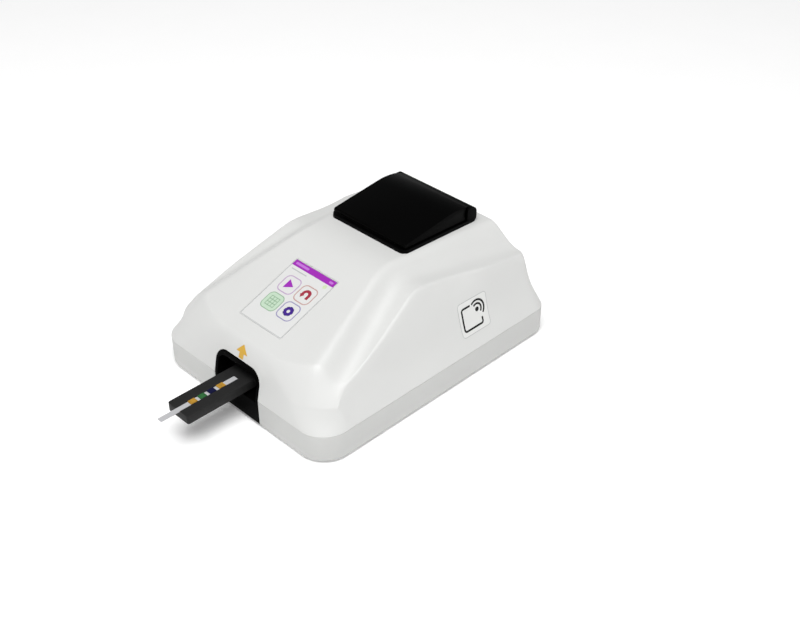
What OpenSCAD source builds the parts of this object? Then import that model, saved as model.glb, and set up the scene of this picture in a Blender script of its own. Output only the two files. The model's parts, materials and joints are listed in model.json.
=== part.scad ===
// Compact strip analyzer: a two part housing with a raised hood, a motor driven strip tray at the front,
// a touch screen on the slope and a paper printer with a hinged cover on the top.
// Millimetres, +Z up, front towards -Y. The origin is on the table, in the middle of the whole outline.

/* [Housing] */
// Width of the housing at the parting line
body_w = 200; // [190:1:220]
// Depth of the housing, front to rear
body_d = 259; // [250:1:280]
// Radius of the front corners
front_r = 24; // [18:1:28]
// Radius of the rear corners
rear_r = 15.5; // [10:0.5:20]
// Wall thickness of the housing
wall = 2.6; // [2.2:0.1:3]
// Height of the lower tub
tub_h = 22.6; // [21:0.2:26]
// How far the feet stand out below the tub
foot_h = 3; // [2:0.5:5]
// Diameter of a foot
foot_dia = 18; // [12:1:24]

/* [Upper shell] */
// Height of the front face above the parting line
front_h = 36.3; // [34:0.1:40]
// How far the front face leans back, in degrees
front_lean = 12.4; // [9:0.1:15]
// Rise of the screen slope, in degrees
slope_a = 20.5; // [18:0.5:23]
// Height of the plateau at the printer's front edge, above the parting line
plateau_h = 75.8; // [72:0.1:80]
// Fall of the plateau towards the rear, in degrees
plateau_tilt = 2.6; // [0:0.1:4]
// Half width of the hood at the plateau
hood_half = 44.8; // [44:0.2:50]
// Fall of the hood's sides, in degrees
hood_side_a = 46; // [40:1:52]
// Spread of the hood towards the front, rise over run
hood_spread = 0.086; // [0.05:0.002:0.12]
// Widening of the hood towards the rear, rise over run
hood_widen = 0.024; // [0:0.002:0.05]
// Drop from the plateau to the shoulders, beside the printer's front edge
shoulder_drop = 11; // [9:0.5:14]
// Fall of the shoulders towards the rear, in degrees
shoulder_tilt = 7.4; // [6:0.1:9]
// Height of the shoulders at the front, above the parting line
shoulder_front_h = 17; // [15:0.5:20]
// Rise of the shoulders along the slope, in degrees
shoulder_a = 23.3; // [21:0.1:25]
// Lean of the flanks below the shoulders' edge, from upright
flank_a = 25; // [23:0.5:27]
// Half width those flanks would have at the parting line
flank_x = 105; // [103:0.5:107]
// Depth at which the flanks begin to widen towards the back
flank_y = 75; // [65:1:85]
// Widening of the flanks for each millimetre of depth
flank_bow = 0.19; // [0.1:0.01:0.25]
// Growth of the front corners' radius with height
corner_grow = 1.05; // [0.8:0.05:1.2]
// Angle of the crease between the front corners and the sides, in degrees
crease_a = 33; // [20:1:36]
// How far the side walls lean in, in degrees
side_lean = 12; // [9:0.5:15]
// Flare at the foot of the side walls, in degrees
flare_a = 24; // [20:1:28]
// Height of that flare
flare_h = 22; // [16:1:26]

/* [Strip tray] */
// Width of the tray
tray_w = 25; // [24:0.5:28]
// Thickness of the tray
tray_h = 7.7; // [6.5:0.1:9]
// How far the tray stands out at rest
tray_out = 54.5; // [45:0.5:58]
// How far the tray travels into the housing
tray_travel = 75; // [60:1:78]
// Width of the test strip
strip_w = 5; // [4:0.5:6]
// Length of the test strip
strip_len = 72; // [60:1:78]
// How far the strip stands out past the tray
strip_over = 16.5; // [8:0.5:20]
// Thickness of the strip's backing
strip_t = 0.4; // [0.3:0.1:0.6]
// Thickness of a reagent pad
pad_t = 0.7; // [0.5:0.1:0.9]
// Length of a reagent pad
pad_len = 6; // [4:0.5:7]
// Distance from pad to pad
pad_pitch = 8.9; // [8:0.1:10]
// Width of the front bezel
bezel_w = 52.8; // [48:0.2:56]
// Height of the front bezel above the tub's underside
bezel_h = 46; // [43:0.5:48]
// Depth of the front bezel
bezel_d = 16; // [14:0.5:18]

/* [Screen] */
// Width of the screen glass
screen_w = 49; // [46:0.5:54]
// Length of the screen glass along the slope
screen_l = 65; // [60:0.5:68]
// Thickness of the screen glass
glass_t = 1.6; // [1.2:0.1:2]
// Distance along the slope from the front bend to the middle of the glass
screen_up = 53.5; // [50:0.5:56]

/* [Printer] */
// Distance from the housing's front to the printer's front edge
printer_back = 141; // [138:0.5:144]
// Width of the printer's frame
printer_w = 86; // [83:0.2:88]
// Depth of the printer's frame
printer_d = 87; // [86:0.2:90]
// Thickness of the printer's frame
frame_t = 3.2; // [2.6:0.1:3.6]
// Diameter of the paper roll
roll_dia = 40; // [30:1:41]
// Width of the paper roll
roll_w = 57.5; // [50:0.5:58]
// Diameter of the platen roller
platen_dia = 9; // [8:0.2:9.6]
// Diameter of the cover's hinge pin
pin_dia = 3; // [2.5:0.1:3.5]

/* [Fits] */
// Gap between sliding flat faces
slide_gap = 0.3; // [0.2:0.05:0.4]
// Gap round a piece set into an opening
set_gap = 0.2; // [0.1:0.05:0.3]
// Radial clearance of a turning shaft
run_gap = 0.05; // [0.02:0.01:0.09]

/* [Hidden] */
$fn = 48;
eps = 0.01;

// Rear rocker switch
rocker_l = 16.8;
rocker_h = 10.4;
rocker_tilt = 10;
rocker_sink = 1.2;
rocker_mid = 1;
rocker_root = 2.5;
rocker_pin_r = 1;
switch_w = 19;
switch_h = 12.8;
switch_lip = 1.2;
switch_depth = 14;
rocker_end = rocker_mid + rocker_l / 2 * tan(rocker_tilt);
rocker_proud = rocker_end * cos(rocker_tilt) + rocker_l / 2 * sin(rocker_tilt) - rocker_sink;

// Places along Y
reach = tray_out + strip_over;
yc = (reach - rocker_proud) / 2;
front_y = yc - body_d / 2;
rear_y = yc + body_d / 2;

// Heights
tub_z = foot_h;
floor_z = tub_z + wall;
split_z = tub_z + tub_h;

// Upper shell: smooth blend of planes over the housing's outline
front_k = 26;
side_k = 10;
corner_k = 20;
bend_k = 6;
hood_k = 4;
valley_k = 8;
flank_k = 5;
bow_k = 20;
flare_k = 8;
corner_most = 0.85;
crease_h = 18;
rear_tight = 0.6;
bend_y = front_y + front_h * tan(front_lean);
printer_y = front_y + printer_back;
plateau_z = split_z + plateau_h;
hood_top_y = bend_y + (plateau_h - front_h) / tan(slope_a);
flare_m = 1 / tan(flare_a);
side_m = 1 / tan(side_lean);
front_m = 1 / tan(front_lean);
flare_d = flare_h / flare_m - flare_h / side_m;
wall_in = wall / cos(flare_a);

function smin(a, b, k) = let (h = max(k - abs(a - b), 0) / k) min(a, b) - h * h * k / 4;
function smax(a, b, k) = -smin(-a, -b, k);
function slope_z(y, t) = split_z + front_h + (y - bend_y) * tan(slope_a) - t / cos(slope_a);
function plateau_at(y, t) = plateau_z - (y - printer_y) * tan(plateau_tilt) - t / cos(plateau_tilt);
function hood_side_z(x, y, t) = plateau_z + (hood_half - abs(x)) * tan(hood_side_a)
    + hood_spread * smin(0, y - hood_top_y, bend_k) + hood_widen * smax(0, y - hood_top_y, bend_k)
    - t / cos(hood_side_a);
function hood_z(x, y, t) = smin(smin(slope_z(y, t), plateau_at(y, t), bend_k),
    hood_side_z(x, y, t), hood_k);
function ledge_z(y, t) = plateau_z - shoulder_drop - (y - printer_y) * tan(shoulder_tilt)
    - t / cos(shoulder_tilt);
function rise_z(y, t) = split_z + shoulder_front_h + (y - bend_y) * tan(shoulder_a) - t / cos(shoulder_a);
function shoulder_z(y, t) = smin(ledge_z(y, t), rise_z(y, t), bend_k);
function flank_half(y) = flank_x + flank_bow * smax(0, y - flank_y, bow_k);
function flank_z(x, y, t) = split_z + (flank_half(y) - abs(x)) / tan(flank_a) - t / sin(flank_a);
function roof_z(x, y, t) = smax(hood_z(x, y, t),
    smin(shoulder_z(y, t), flank_z(x, y, t), flank_k), valley_k);
// Height of the side walls above the parting line, where they have come in by d
function side_h(d) = smax(flare_m * d, side_m * (d - flare_d), flare_k)
    - smax(0, -side_m * flare_d, flare_k);
function shell_z(p, d, t) = smin(split_z + side_h(d), roof_z(p.x, p.y, t),
    side_k + p[2] * (front_k - side_k));

// Points of the housing's outline at that height, drawn in by an inset: x, y and share of the front
arc_n = 6;
side_n = 22;
end_n = 10;
least_r = 2;
ring_n = 4 * (arc_n + 1) + 2 * (side_n - 1) + 2 * (end_n - 1);
function ease(s) = s * s * (3 - 2 * s);
function corner_r(d) = smin(front_r + corner_grow * side_h(d), corner_most * (body_w / 2 - d), corner_k);
function corner_x(d) = body_w / 2 - d - corner_r(d) * cos(crease_a * min(side_h(d) / crease_h, 1));
function arc_pts(c, r, from, to, s0, s1) = [for (i = [0:arc_n]) let (
    f = i / arc_n,
    a = from + (to - from) * f)
    [c.x + r * cos(a), c.y + r * sin(a), ease(s0 + (s1 - s0) * f)]];
function run_pts(p, q, s, n) = [for (i = [1:n - 1])
    [p.x + (q.x - p.x) * i / n, p.y + (q.y - p.y) * i / n, s]];
function ring_pts(d, inset) = let (
    hx = body_w / 2 - d - inset,
    y0 = front_y + side_h(d) / front_m + inset,
    y1 = rear_y - d - inset,
    cx = corner_x(d),
    rf = corner_r(d) - inset,
    cy = y0 + rf,
    turn = acos(min((hx - cx) / rf, 1)),
    end_y = cy - rf * sin(turn),
    rr = max(rear_r - rear_tight * d - inset, least_r))
    concat(
        arc_pts([cx, cy], rf, -90, -turn, 1, 0),
        run_pts([hx, end_y], [hx, y1 - rr], 0, side_n),
        arc_pts([hx - rr, y1 - rr], rr, 0, 90, 0, 0),
        run_pts([hx - rr, y1], [rr - hx, y1], 0, end_n),
        arc_pts([rr - hx, y1 - rr], rr, 90, 180, 0, 0),
        run_pts([-hx, y1 - rr], [-hx, end_y], 0, side_n),
        arc_pts([-cx, cy], rf, 180 + turn, 270, 0, 1),
        run_pts([-cx, y0], [cx, y0], 1, end_n));

// Rings of the shell: the inner skin from its middle to the rim, then the outer skin back to its middle
outer_n = 30;
outer_wall_n = 14;
inner_n = 16;
inner_wall_n = 7;
crest_d = 27;
ring_power = 1.2;
ring_deep = body_w / 2 - 2 * least_r;
function ring_d(k, wall_n, n, deep) = k <= wall_n ? crest_d * k / wall_n
    : crest_d + (deep - crest_d) * pow((k - wall_n) / (n - wall_n), ring_power);
function outer_d(k) = ring_d(k, outer_wall_n, outer_n, ring_deep);
function inner_d(k) = ring_d(k, inner_wall_n, inner_n, ring_deep - wall_in);
function inner_ring(k) = let (d = inner_d(k)) [for (p = ring_pts(d, wall_in))
    [p.x, p.y, k == 0 ? split_z : shell_z(p, d, wall)]];
function outer_ring(k) = let (d = outer_d(k)) [for (p = ring_pts(d, 0))
    [p.x, p.y, k == 0 ? split_z : shell_z(p, d, 0)]];

// Faces that close a ring along its middle line, from the first point of the ring and of the line
left_end = 3 * arc_n + 2 * side_n + end_n;
rear_left = left_end - side_n;
function cap_faces(ring, line) = concat(
    [for (j = [0:side_n - 1]) each [
        [ring + arc_n + j + 1, ring + arc_n + j, line + j], [ring + arc_n + j + 1, line + j, line + j + 1],
        [ring + left_end - j, ring + left_end - j - 1, line + j],
        [line + j, ring + left_end - j - 1, line + j + 1]]],
    [for (i = [left_end:ring_n + arc_n - 1]) [ring + (i + 1) % ring_n, ring + i % ring_n, line]],
    [for (i = [arc_n + side_n:rear_left - 1]) [ring + i + 1, ring + i, line + side_n]]);

module shell_skin() {
    rings = concat([for (k = [inner_n:-1:0]) inner_ring(k)], [for (k = [0:outer_n]) outer_ring(k)]);
    ring_count = len(rings);
    spine = [for (p = ring_pts(ring_deep, 0)) p.y];
    function spine_pts(t) = [for (j = [0:side_n]) let (y = spine[arc_n + j]) [0, y, roof_z(0, y, t)]];
    points = concat([for (r = rings) each r], spine_pts(wall), spine_pts(0));
    sides = [for (k = [0:ring_count - 2], i = [0:ring_n - 1]) let (
        j = (i + 1) % ring_n,
        a = k * ring_n + i,
        b = k * ring_n + j,
        c = a + ring_n,
        e = b + ring_n) each [[a, c, e], [a, e, b]]];
    inner_spine = ring_count * ring_n;
    caps = concat(
        [for (f = cap_faces(0, inner_spine)) [f[2], f[1], f[0]]],
        cap_faces((ring_count - 1) * ring_n, inner_spine + side_n + 1));
    polyhedron(points, concat(sides, caps), convexity = 10);
}

// Extrusions along X and along Y of a drawing in the plane across them
module along_x(x0, x1) {
    translate([x0, 0, 0]) rotate([90, 0, 90]) linear_extrude(x1 - x0) children();
}
module along_y(y0, y1) {
    translate([0, y1, 0]) rotate([90, 0, 0]) linear_extrude(y1 - y0) children();
}
module block(x, y, z) {
    translate([x[0], y[0], z[0]]) cube([x[1] - x[0], y[1] - y[0], z[1] - z[0]]);
}
module rod_x(x0, x1, y, z, r) {
    translate([x0, y, z]) rotate([0, 90, 0]) cylinder(h = x1 - x0, r = r);
}
module rod_z(x, y, z0, z1, r) {
    translate([x, y, z0]) cylinder(h = z1 - z0, r = r);
}
module both_sides() {
    children();
    mirror([1, 0, 0]) children();
}
// Rectangle with round corners, from corner p to corner q
module round_box2d(p, q, r) {
    translate([p.x + r, p.y]) square([q.x - p.x - 2 * r, q.y - p.y]);
    translate([p.x, p.y + r]) square([q.x - p.x, q.y - p.y - 2 * r]);
    for (x = [p.x + r, q.x - r], y = [p.y + r, q.y - r]) translate([x, y]) circle(r);
}
// The housing's outline, drawn in by d
module outline2d(d) {
    hx = body_w / 2 - d;
    y0 = front_y + d;
    y1 = rear_y - d;
    rf = front_r - d;
    rr = rear_r - d;
    polygon([[hx - rf, y0], [hx, y0 + rf], [hx, y1 - rr], [hx - rr, y1],
        [rr - hx, y1], [-hx, y1 - rr], [-hx, y0 + rf], [rf - hx, y0]]);
    for (s = [-1, 1]) {
        translate([s * (hx - rf), y0 + rf]) circle(rf);
        translate([s * (hx - rr), y1 - rr]) circle(rr);
    }
}

// Housing screws and the ledges that they hold
screw_r = 1.5;
screw_hole_r = 1.8;
screw_head_r = 2.9;
screw_head_h = 2;
boss_r = 4.5;
ledge_in = 15;
ledge_h = 4;
screw_in = 10.5;
screw_front = 46;
screw_rear = 42;
screw_x = body_w / 2 - screw_in;
screw_ys = [front_y + screw_front, rear_y - screw_rear];
ledge_ends = 12;

// Front bezel and tray mouth
bezel_r = 11.5;
bezel_rim = 3.2;
bezel_back = 3;
bezel_top = tub_z + bezel_h;

// Tray, rack and pinion
tray_z = split_z + 1;
tray_top = tray_z + tray_h;
tray_front = front_y - tray_out;
guide_front = front_y + bezel_d + slide_gap;
groove_w = strip_w + 2 * set_gap;
groove_h = strip_t + pad_t + 0.1;
strip_front = tray_front - strip_over;
strip_rear = strip_front + strip_len;
pad_lead = 30.7;
pad_first = strip_front + pad_lead;
tile_w = 8;
tile_l = 12;
tooth_m = 0.8;
tooth_a = 20;
pinion_teeth = 16;
pinion_r = tooth_m * pinion_teeth / 2;
backlash = 0.16;
rack_w = 6;
rack_back = 1.6;
rack_pitch = PI * tooth_m;
rack_line_z = tray_z - rack_back - 1.25 * tooth_m;
rack_front = guide_front + 2;
pinion_y = rack_front + tray_travel + 1.5 * rack_pitch;
tray_rear = pinion_y + 6;
pinion_z = rack_line_z - pinion_r;
shaft_r = 1.5;

// Guide
guide_rear = tray_rear + tray_travel + 5;
guide_in = tray_w / 2 + slide_gap;
guide_wall = 2.5;
guide_out = guide_in + guide_wall;
guide_lip = 2;
guide_plate = 2.2;
slot_half = rack_w / 2 + 1.5;
guide_plate_z = rack_line_z - tooth_m - 0.6;
guide_base = guide_plate_z - guide_plate;
guide_top = tray_top + slide_gap + guide_lip;
guide_post_r = 4;
post_front = 14;
post_rear = 18;
guide_posts_y = [guide_front + post_front, guide_rear - post_rear];
guide_post_x = 10.5;
guide_head_z = tray_z - slide_gap - 0.3;
lug_x = 8;
lug_t = 3;
lug_r = 4;
motor_r = 10;
motor_len = 18;
motor_plate_t = 2;
motor_plate_x = -guide_out - 2.5;
motor_boss_r = 4;

// Optics over the guide
optics_l = 30;
optics_gap = 2.4;
optics_early = 1;
optics_y = max(guide_front + optics_gap, pad_first + tray_travel - optics_l / 2 - optics_early);
tile_front = optics_y + (optics_l - tile_l) / 2;
optics_h = 17;
lens_r = 4;
lens_t = 3;
lens_lip = 1;
lens_seat = 6;
led_bore_r = 2;
led_tilt = 40;
led_board_t = 1.6;

// Screen, placed on the slope
lcd_edge = 3;
lcd_t = 3.2;
board_t = 1.6;
window_gap = set_gap;

// Boards
standoff_h = 3;
standoff_r = 3.2;
main_left = -68;
main_right = 50;
main_front = guide_rear + 2;
main_rear = rear_y - wall - 2.5;
main_z = floor_z + standoff_h;
board_inset = 5;
board_xs = [main_left + board_inset, main_right - board_inset];
board_ys = [main_front + board_inset, main_rear - board_inset];
chip_w = 14;
chip_h = 1.6;
chip_back = 12;
part_n = 4;
part_x = -50;
part_w = 4;
part_l = 8;
part_h = 1.2;
part_back = 10;
header_x = 14;
header_w = 26;
header_l = 6;
header_h = 6;
header_back = 8;
reader_in = 27;
reader_back = 178;
reader_x = body_w / 2 - reader_in;
reader_y = front_y + reader_back;
reader_w = 38;
reader_h = 58;
reader_rib_h = 9;
reader_rib_t = 1.8;

// Rear sockets: middle along X and size
port_z = main_z + board_t;
inlet_x = 34;
inlet_size = [9.4, 11];
serial_x = 0;
serial_size = [30.8, 12.4];
usb_x = -33;
usb_size = [14.4, 7];
device_x = -52;
device_size = [12, 10.8];
port_depth = 13;
port_wall = 0.9;
switch_in = 32;
switch_x = body_w / 2 - switch_in;
switch_z = tub_z + tub_h / 2;

// Printer, in its own frame: origin at the middle of its front lower edge, on the plateau
bar_front = 5;
bar_side = 5.2;
frame_r = 6;
cover_gap = 1;
cover_front = 2.8;
cover_front_h = 3;
cover_rise = 0.169;
crown_y = 52;
crown_r = 62;
cover_t = 2.4;
cover_lean = 2;
hinge_gap = 0.2;
hinge_in = 7.5;
hinge_y = printer_d - hinge_in;
cover_low = frame_t + cover_gap;
function cover_top(y) = cover_low + cover_front_h + cover_rise * (y - cover_front)
    - pow(max(0, y - crown_y), 2) / (2 * crown_r);
hinge_r = (cover_top(hinge_y) - frame_t - hinge_gap) / 2;
hinge_z = frame_t + hinge_gap + hinge_r;
ear_t = 2.4;
ear_half = 5.6;
ear_r = 1.6;
ear_inset = 0.2;
ear_out = printer_w / 2 - ear_inset;
ear_in = ear_out - ear_t;
knuckle_half = ear_in - slide_gap;
cover_lip = 1.5;
cover_half = printer_w / 2 - cover_lip;
notch_r = norm([ear_half, hinge_r + hinge_gap]) + slide_gap;
pin_skin = 0.8;
pin_half = ear_out - pin_skin;
pin_r = pin_dia / 2;
platen_r = platen_dia / 2;
platen_y = 11.6;
platen_z = -2.5;
platen_shaft_r = 2;
bushing_r = 3.5;
bucket_wall = 2.2;
bucket_lap = 1;
bucket_half = printer_w / 2 - bar_side + bucket_lap;
bucket_in = bucket_half - bucket_wall;
gear_m = 0.5;
gear_w = 2.4;
gear_gap = 0.3;
gear_side = 0.7;
arm_t = 2.4;
arm_r = 4.4;
arm_x = bucket_in - gear_side - gear_w - gear_gap - arm_t;
platen_gap = 1.6;
platen_half = arm_x - platen_gap;
platen_teeth = 20;
drive_teeth = 24;
platen_gear_r = gear_m * platen_teeth / 2;
drive_gear_r = gear_m * drive_teeth / 2;
gear_apart = platen_gear_r + drive_gear_r;
drive_y = platen_y + 2.5;
drive_z = platen_z - sqrt(gear_apart * gear_apart - (drive_y - platen_y) * (drive_y - platen_y));
drive_turn = atan2(platen_z - drive_z, platen_y - drive_y);
gear_x = -arm_x - arm_t - gear_gap - gear_w;
printer_motor_r = 6;
printer_motor_len = 16;
bucket_front = 0.6;
bay_front = bucket_front + bucket_wall;
bay_rear = 22;
bay_z = drive_z - drive_gear_r - gear_m - 0.6;
roll_r = roll_dia / 2;
roll_cell_r = roll_r + 2;
roll_half = roll_w / 2;
roll_y = bay_rear + bucket_wall + roll_cell_r;
bar_rear = printer_d - roll_y - roll_cell_r - 1;
roll_cell_z = -roll_cell_r - bucket_wall;
bucket_rear = roll_y + roll_cell_r + bucket_wall;
roll_z = roll_cell_z - (roll_cell_r - roll_r - 0.4);
core_r = 6.5;
core_in_r = 5.5;
head_over = 0.6;
head_half = platen_half + head_over;
head_t = 2.2;
head_h = 14.7;
head_top = -0.3;
head_gap = 0.8;
head_y = platen_y - platen_r - head_gap - head_t;
tear_over = 1;
tear_half = platen_half + tear_over;
tear_n = 29;

module in_printer() {
    translate([0, printer_y, plateau_z]) rotate([-plateau_tilt, 0, 0]) children();
}
module on_slope() {
    translate([0, bend_y + screen_up * cos(slope_a), split_z + front_h + screen_up * sin(slope_a)])
        rotate([slope_a, 0, 0]) children();
}

// Involute gear outline, with its first tooth along +X
function tooth_open(r, rb) = let (a = acos(min(1, rb / r))) tan(a) * 180 / PI - a;
module gear2d(m, teeth) {
    pr = m * teeth / 2;
    rb = pr * cos(tooth_a);
    tip = pr + m;
    root = pr - 1.25 * m;
    half = 90 / teeth - backlash / 2 / pr * 180 / PI;
    low = max(rb, root);
    steps = 4;
    radii = [for (i = [0:steps]) low + (tip - low) * i / steps];
    function edge(r) = half + tooth_open(pr, rb) - tooth_open(r, rb);
    circle(root);
    for (k = [0:teeth - 1]) rotate(360 / teeth * k) polygon(concat(
        [[0.8 * root * cos(edge(low)), -0.8 * root * sin(edge(low))]],
        [for (r = radii) [r * cos(edge(r)), -r * sin(edge(r))]],
        [for (i = [steps:-1:0]) let (r = radii[i]) [r * cos(edge(r)), r * sin(edge(r))]],
        [[0.8 * root * cos(edge(low)), 0.8 * root * sin(edge(low))]]));
}

// Bezel outline across the front, grown by g
module bezel2d(g) {
    half = bezel_w / 2 + g;
    r = bezel_r + g;
    translate([-half, tub_z]) square([2 * half, bezel_h + g - r]);
    translate([r - half, tub_z]) square([2 * (half - r), bezel_h + g]);
    for (s = [-1, 1]) translate([s * (half - r), bezel_top + g - r]) circle(r);
}

module base_tub() {
    color("gainsboro") difference() {
        union() {
            difference() {
                translate([0, 0, tub_z]) linear_extrude(tub_h) outline2d(0);
                translate([0, 0, floor_z]) linear_extrude(tub_h) outline2d(wall);
            }
            for (s = [-1, 1], y = screw_ys) rod_z(s * screw_x, y, tub_z + eps, split_z, boss_r);
            for (s = [-1, 1], y = guide_posts_y)
                rod_z(s * guide_post_x, y, tub_z + eps, guide_base, guide_post_r);
            for (x = board_xs, y = board_ys)
                rod_z(x, y, tub_z + eps, main_z, standoff_r);
            for (x = [reader_x - reader_rib_t - set_gap, reader_x + board_t + set_gap])
                block([x, x + reader_rib_t], [reader_y - reader_w / 2, reader_y + reader_w / 2],
                    [tub_z + eps, floor_z + reader_rib_h]);
        }
        along_y(front_y - 1, front_y + bezel_d + set_gap) translate([0, -1]) bezel2d(set_gap);
        for (s = [-1, 1], y = screw_ys) {
            rod_z(s * screw_x, y, tub_z - 1, split_z + 1, screw_hole_r);
            rod_z(s * screw_x, y, tub_z - 1, tub_z + screw_head_h + 1, screw_head_r + set_gap);
        }
        for (s = [-1, 1], y = guide_posts_y)
            rod_z(s * guide_post_x, y, floor_z + 2, split_z, screw_r);
        for (x = board_xs, y = board_ys)
            rod_z(x, y, tub_z + 1, split_z, screw_r - 0.3);
        rear_cut(inlet_x, inlet_size);
        rear_cut(serial_x, serial_size);
        rear_cut(usb_x, usb_size);
        rear_cut(device_x, device_size);
        block([switch_x - switch_w / 2 - set_gap, switch_x + switch_w / 2 + set_gap],
            [rear_y - wall - 1, rear_y + 1],
            [switch_z - switch_h / 2 - set_gap, switch_z + switch_h / 2 + set_gap]);
    }
}
module rear_cut(x, size) {
    block([x - size.x / 2 - set_gap, x + size.x / 2 + set_gap], [rear_y - wall - 1, rear_y + 1],
        [port_z - set_gap, port_z + size.y + set_gap]);
}

module upper_shell() {
    color("white") difference() {
        union() {
            shell_skin();
            both_sides() block([body_w / 2 - ledge_in, body_w / 2 - wall],
                [screw_ys[0] - ledge_ends, screw_ys[1] + ledge_ends], [split_z, split_z + ledge_h]);
        }
        along_y(front_y - 1, front_y + bezel_d + set_gap) bezel2d(set_gap);
        on_slope() block([-screen_w / 2 - window_gap, screen_w / 2 + window_gap],
            [-screen_l / 2 - window_gap, screen_l / 2 + window_gap], [-4 * wall, wall]);
        in_printer() block([-bucket_half - set_gap, bucket_half + set_gap],
            [bucket_front - set_gap, bucket_rear + set_gap], [-4 * wall, wall]);
        for (s = [-1, 1], y = screw_ys)
            rod_z(s * screw_x, y, split_z - 1, split_z + ledge_h + 1, screw_r);
    }
}

module front_bezel() {
    lean_in = (bezel_top + 1 - split_z) * tan(front_lean);
    color([0.05, 0.05, 0.05]) difference() {
        intersection() {
            along_y(front_y, front_y + bezel_d) bezel2d(0);
            along_x(-bezel_w, bezel_w) polygon([[front_y, tub_z - 1], [front_y, split_z],
                [front_y + lean_in, bezel_top + 1], [front_y + bezel_d, bezel_top + 1],
                [front_y + bezel_d, tub_z - 1]]);
        }
        along_y(front_y - 1, front_y + bezel_d - bezel_back) intersection() {
            translate([0, tray_z - 4]) square([bezel_w - 2 * bezel_rim, 2 * bezel_h], center = true);
            translate([0, -bezel_rim]) bezel2d(-bezel_rim / 2);
            translate([-bezel_w, tray_z - 4]) square([2 * bezel_w, bezel_h]);
        }
        block([-guide_in - 0.2, guide_in + 0.2], [front_y - 1, front_y + bezel_d + 1],
            [tray_z - slide_gap - 0.2, tray_top + slide_gap + 0.2]);
    }
}

foot_front = 8;
foot_rear = 12;
module feet() {
    ys = [front_y + front_r + foot_front, rear_y - rear_r - foot_rear];
    color([0.15, 0.15, 0.15]) for (s = [-1, 1], y = ys)
        rod_z(s * (body_w / 2 - front_r), y, 0, tub_z, foot_dia / 2);
}

module screw(x, y, z_head, z_tip) {
    rod_z(x, y, z_head, z_head + screw_head_h, screw_head_r);
    rod_z(x, y, z_head + screw_head_h - eps, z_tip, screw_r);
}
module case_screws() {
    color("silver") for (s = [-1, 1], y = screw_ys)
        screw(s * screw_x, y, tub_z + 1, split_z + ledge_h - 0.5);
}

module tray_guide() {
    color("dimgray") difference() {
        union() {
            along_y(guide_front, guide_rear) difference() {
                translate([-guide_out, guide_base]) square([2 * guide_out, guide_top - guide_base]);
                translate([-guide_in, tray_z - slide_gap])
                    square([2 * guide_in, tray_h + 2 * slide_gap]);
                translate([guide_lip - guide_in, tray_z]) square([2 * (guide_in - guide_lip), tray_h * 2]);
                translate([-slot_half, guide_plate_z]) square([2 * slot_half, tray_h]);
            }
            block([-guide_out, guide_out], [guide_rear - guide_wall, guide_rear], [guide_base, guide_top]);
            for (s = [-1, 1]) translate([s * lug_x - lug_t / 2, 0, 0]) along_x(0, lug_t) {
                translate([pinion_y, pinion_z]) circle(lug_r);
                translate([pinion_y - lug_r, pinion_z]) square([2 * lug_r, guide_base - pinion_z + eps]);
            }
            block([motor_plate_x - motor_plate_t, motor_plate_x],
                [pinion_y - motor_r - 2, pinion_y + motor_r + 2], [floor_z + 0.3, guide_top]);
            block([motor_plate_x - eps, -guide_out + eps],
                [pinion_y - motor_r - 2, pinion_y + motor_r + 2], [guide_base + 2, guide_top]);
        }
        block([-slot_half, slot_half], [pinion_y - pinion_r - 2, pinion_y + pinion_r + 2],
            [guide_base - 1, guide_plate_z + 1]);
        rod_x(-lug_x - lug_t, lug_x + lug_t, pinion_y, pinion_z, shaft_r + run_gap);
        rod_x(motor_plate_x - motor_plate_t - 1, motor_plate_x + 1, pinion_y, pinion_z,
            motor_boss_r + set_gap);
        for (s = [-1, 1], y = guide_posts_y)
            rod_z(s * guide_post_x, y, guide_base - 1, tray_z + 1, screw_hole_r);
        for (s = [-1, 1], y = guide_posts_y)
            rod_z(s * guide_post_x, y, guide_head_z - screw_head_h, tray_z, screw_head_r + set_gap);
        rear_open = guide_rear - guide_wall - 1;
        block([-slot_half, slot_half], [rear_open, guide_rear + 1], [guide_plate_z, tray_z]);
    }
}
module guide_screws() {
    color("silver") for (s = [-1, 1], y = guide_posts_y) {
        rod_z(s * guide_post_x, y, guide_head_z - screw_head_h, guide_head_z, screw_head_r);
        rod_z(s * guide_post_x, y, floor_z + 3, guide_head_z - screw_head_h + eps, screw_r);
    }
}

module strip_tray() {
    edge = 2;
    color([0.2, 0.2, 0.2]) difference() {
        translate([0, 0, tray_z]) linear_extrude(tray_h)
            round_box2d([-tray_w / 2, tray_front], [tray_w / 2, tray_rear], edge);
        block([-groove_w / 2, groove_w / 2], [tray_front - 1, strip_rear + set_gap],
            [tray_top - groove_h, tray_top + 1]);
        block([-tile_w / 2 - set_gap, tile_w / 2 + set_gap],
            [tile_front - set_gap, tile_front + tile_l + set_gap],
            [tray_top - groove_h, tray_top + 1]);
    }
}
module tray_rack() {
    half = rack_pitch / 4 - backlash / 4;
    tip_z = rack_line_z - tooth_m;
    root_z = rack_line_z + 1.25 * tooth_m;
    teeth = floor((tray_rear - 1 - rack_front) / rack_pitch);
    first = pinion_y - rack_pitch * floor((pinion_y - rack_front) / rack_pitch);
    color("ivory") along_x(-rack_w / 2, rack_w / 2) {
        translate([first - rack_pitch / 2, root_z])
            square([rack_pitch * teeth, tray_z - root_z]);
        for (k = [0:teeth - 1]) translate([first + rack_pitch * k, 0]) polygon([
            [-half - 1.25 * tooth_m * tan(tooth_a), root_z + eps],
            [-half + tooth_m * tan(tooth_a), tip_z],
            [half - tooth_m * tan(tooth_a), tip_z],
            [half + 1.25 * tooth_m * tan(tooth_a), root_z + eps]]);
    }
}
module reference_tile() {
    color("white") block([-tile_w / 2, tile_w / 2],
        [tile_front, tile_front + tile_l], [tray_top - groove_h, tray_top - 0.2]);
}

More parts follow.
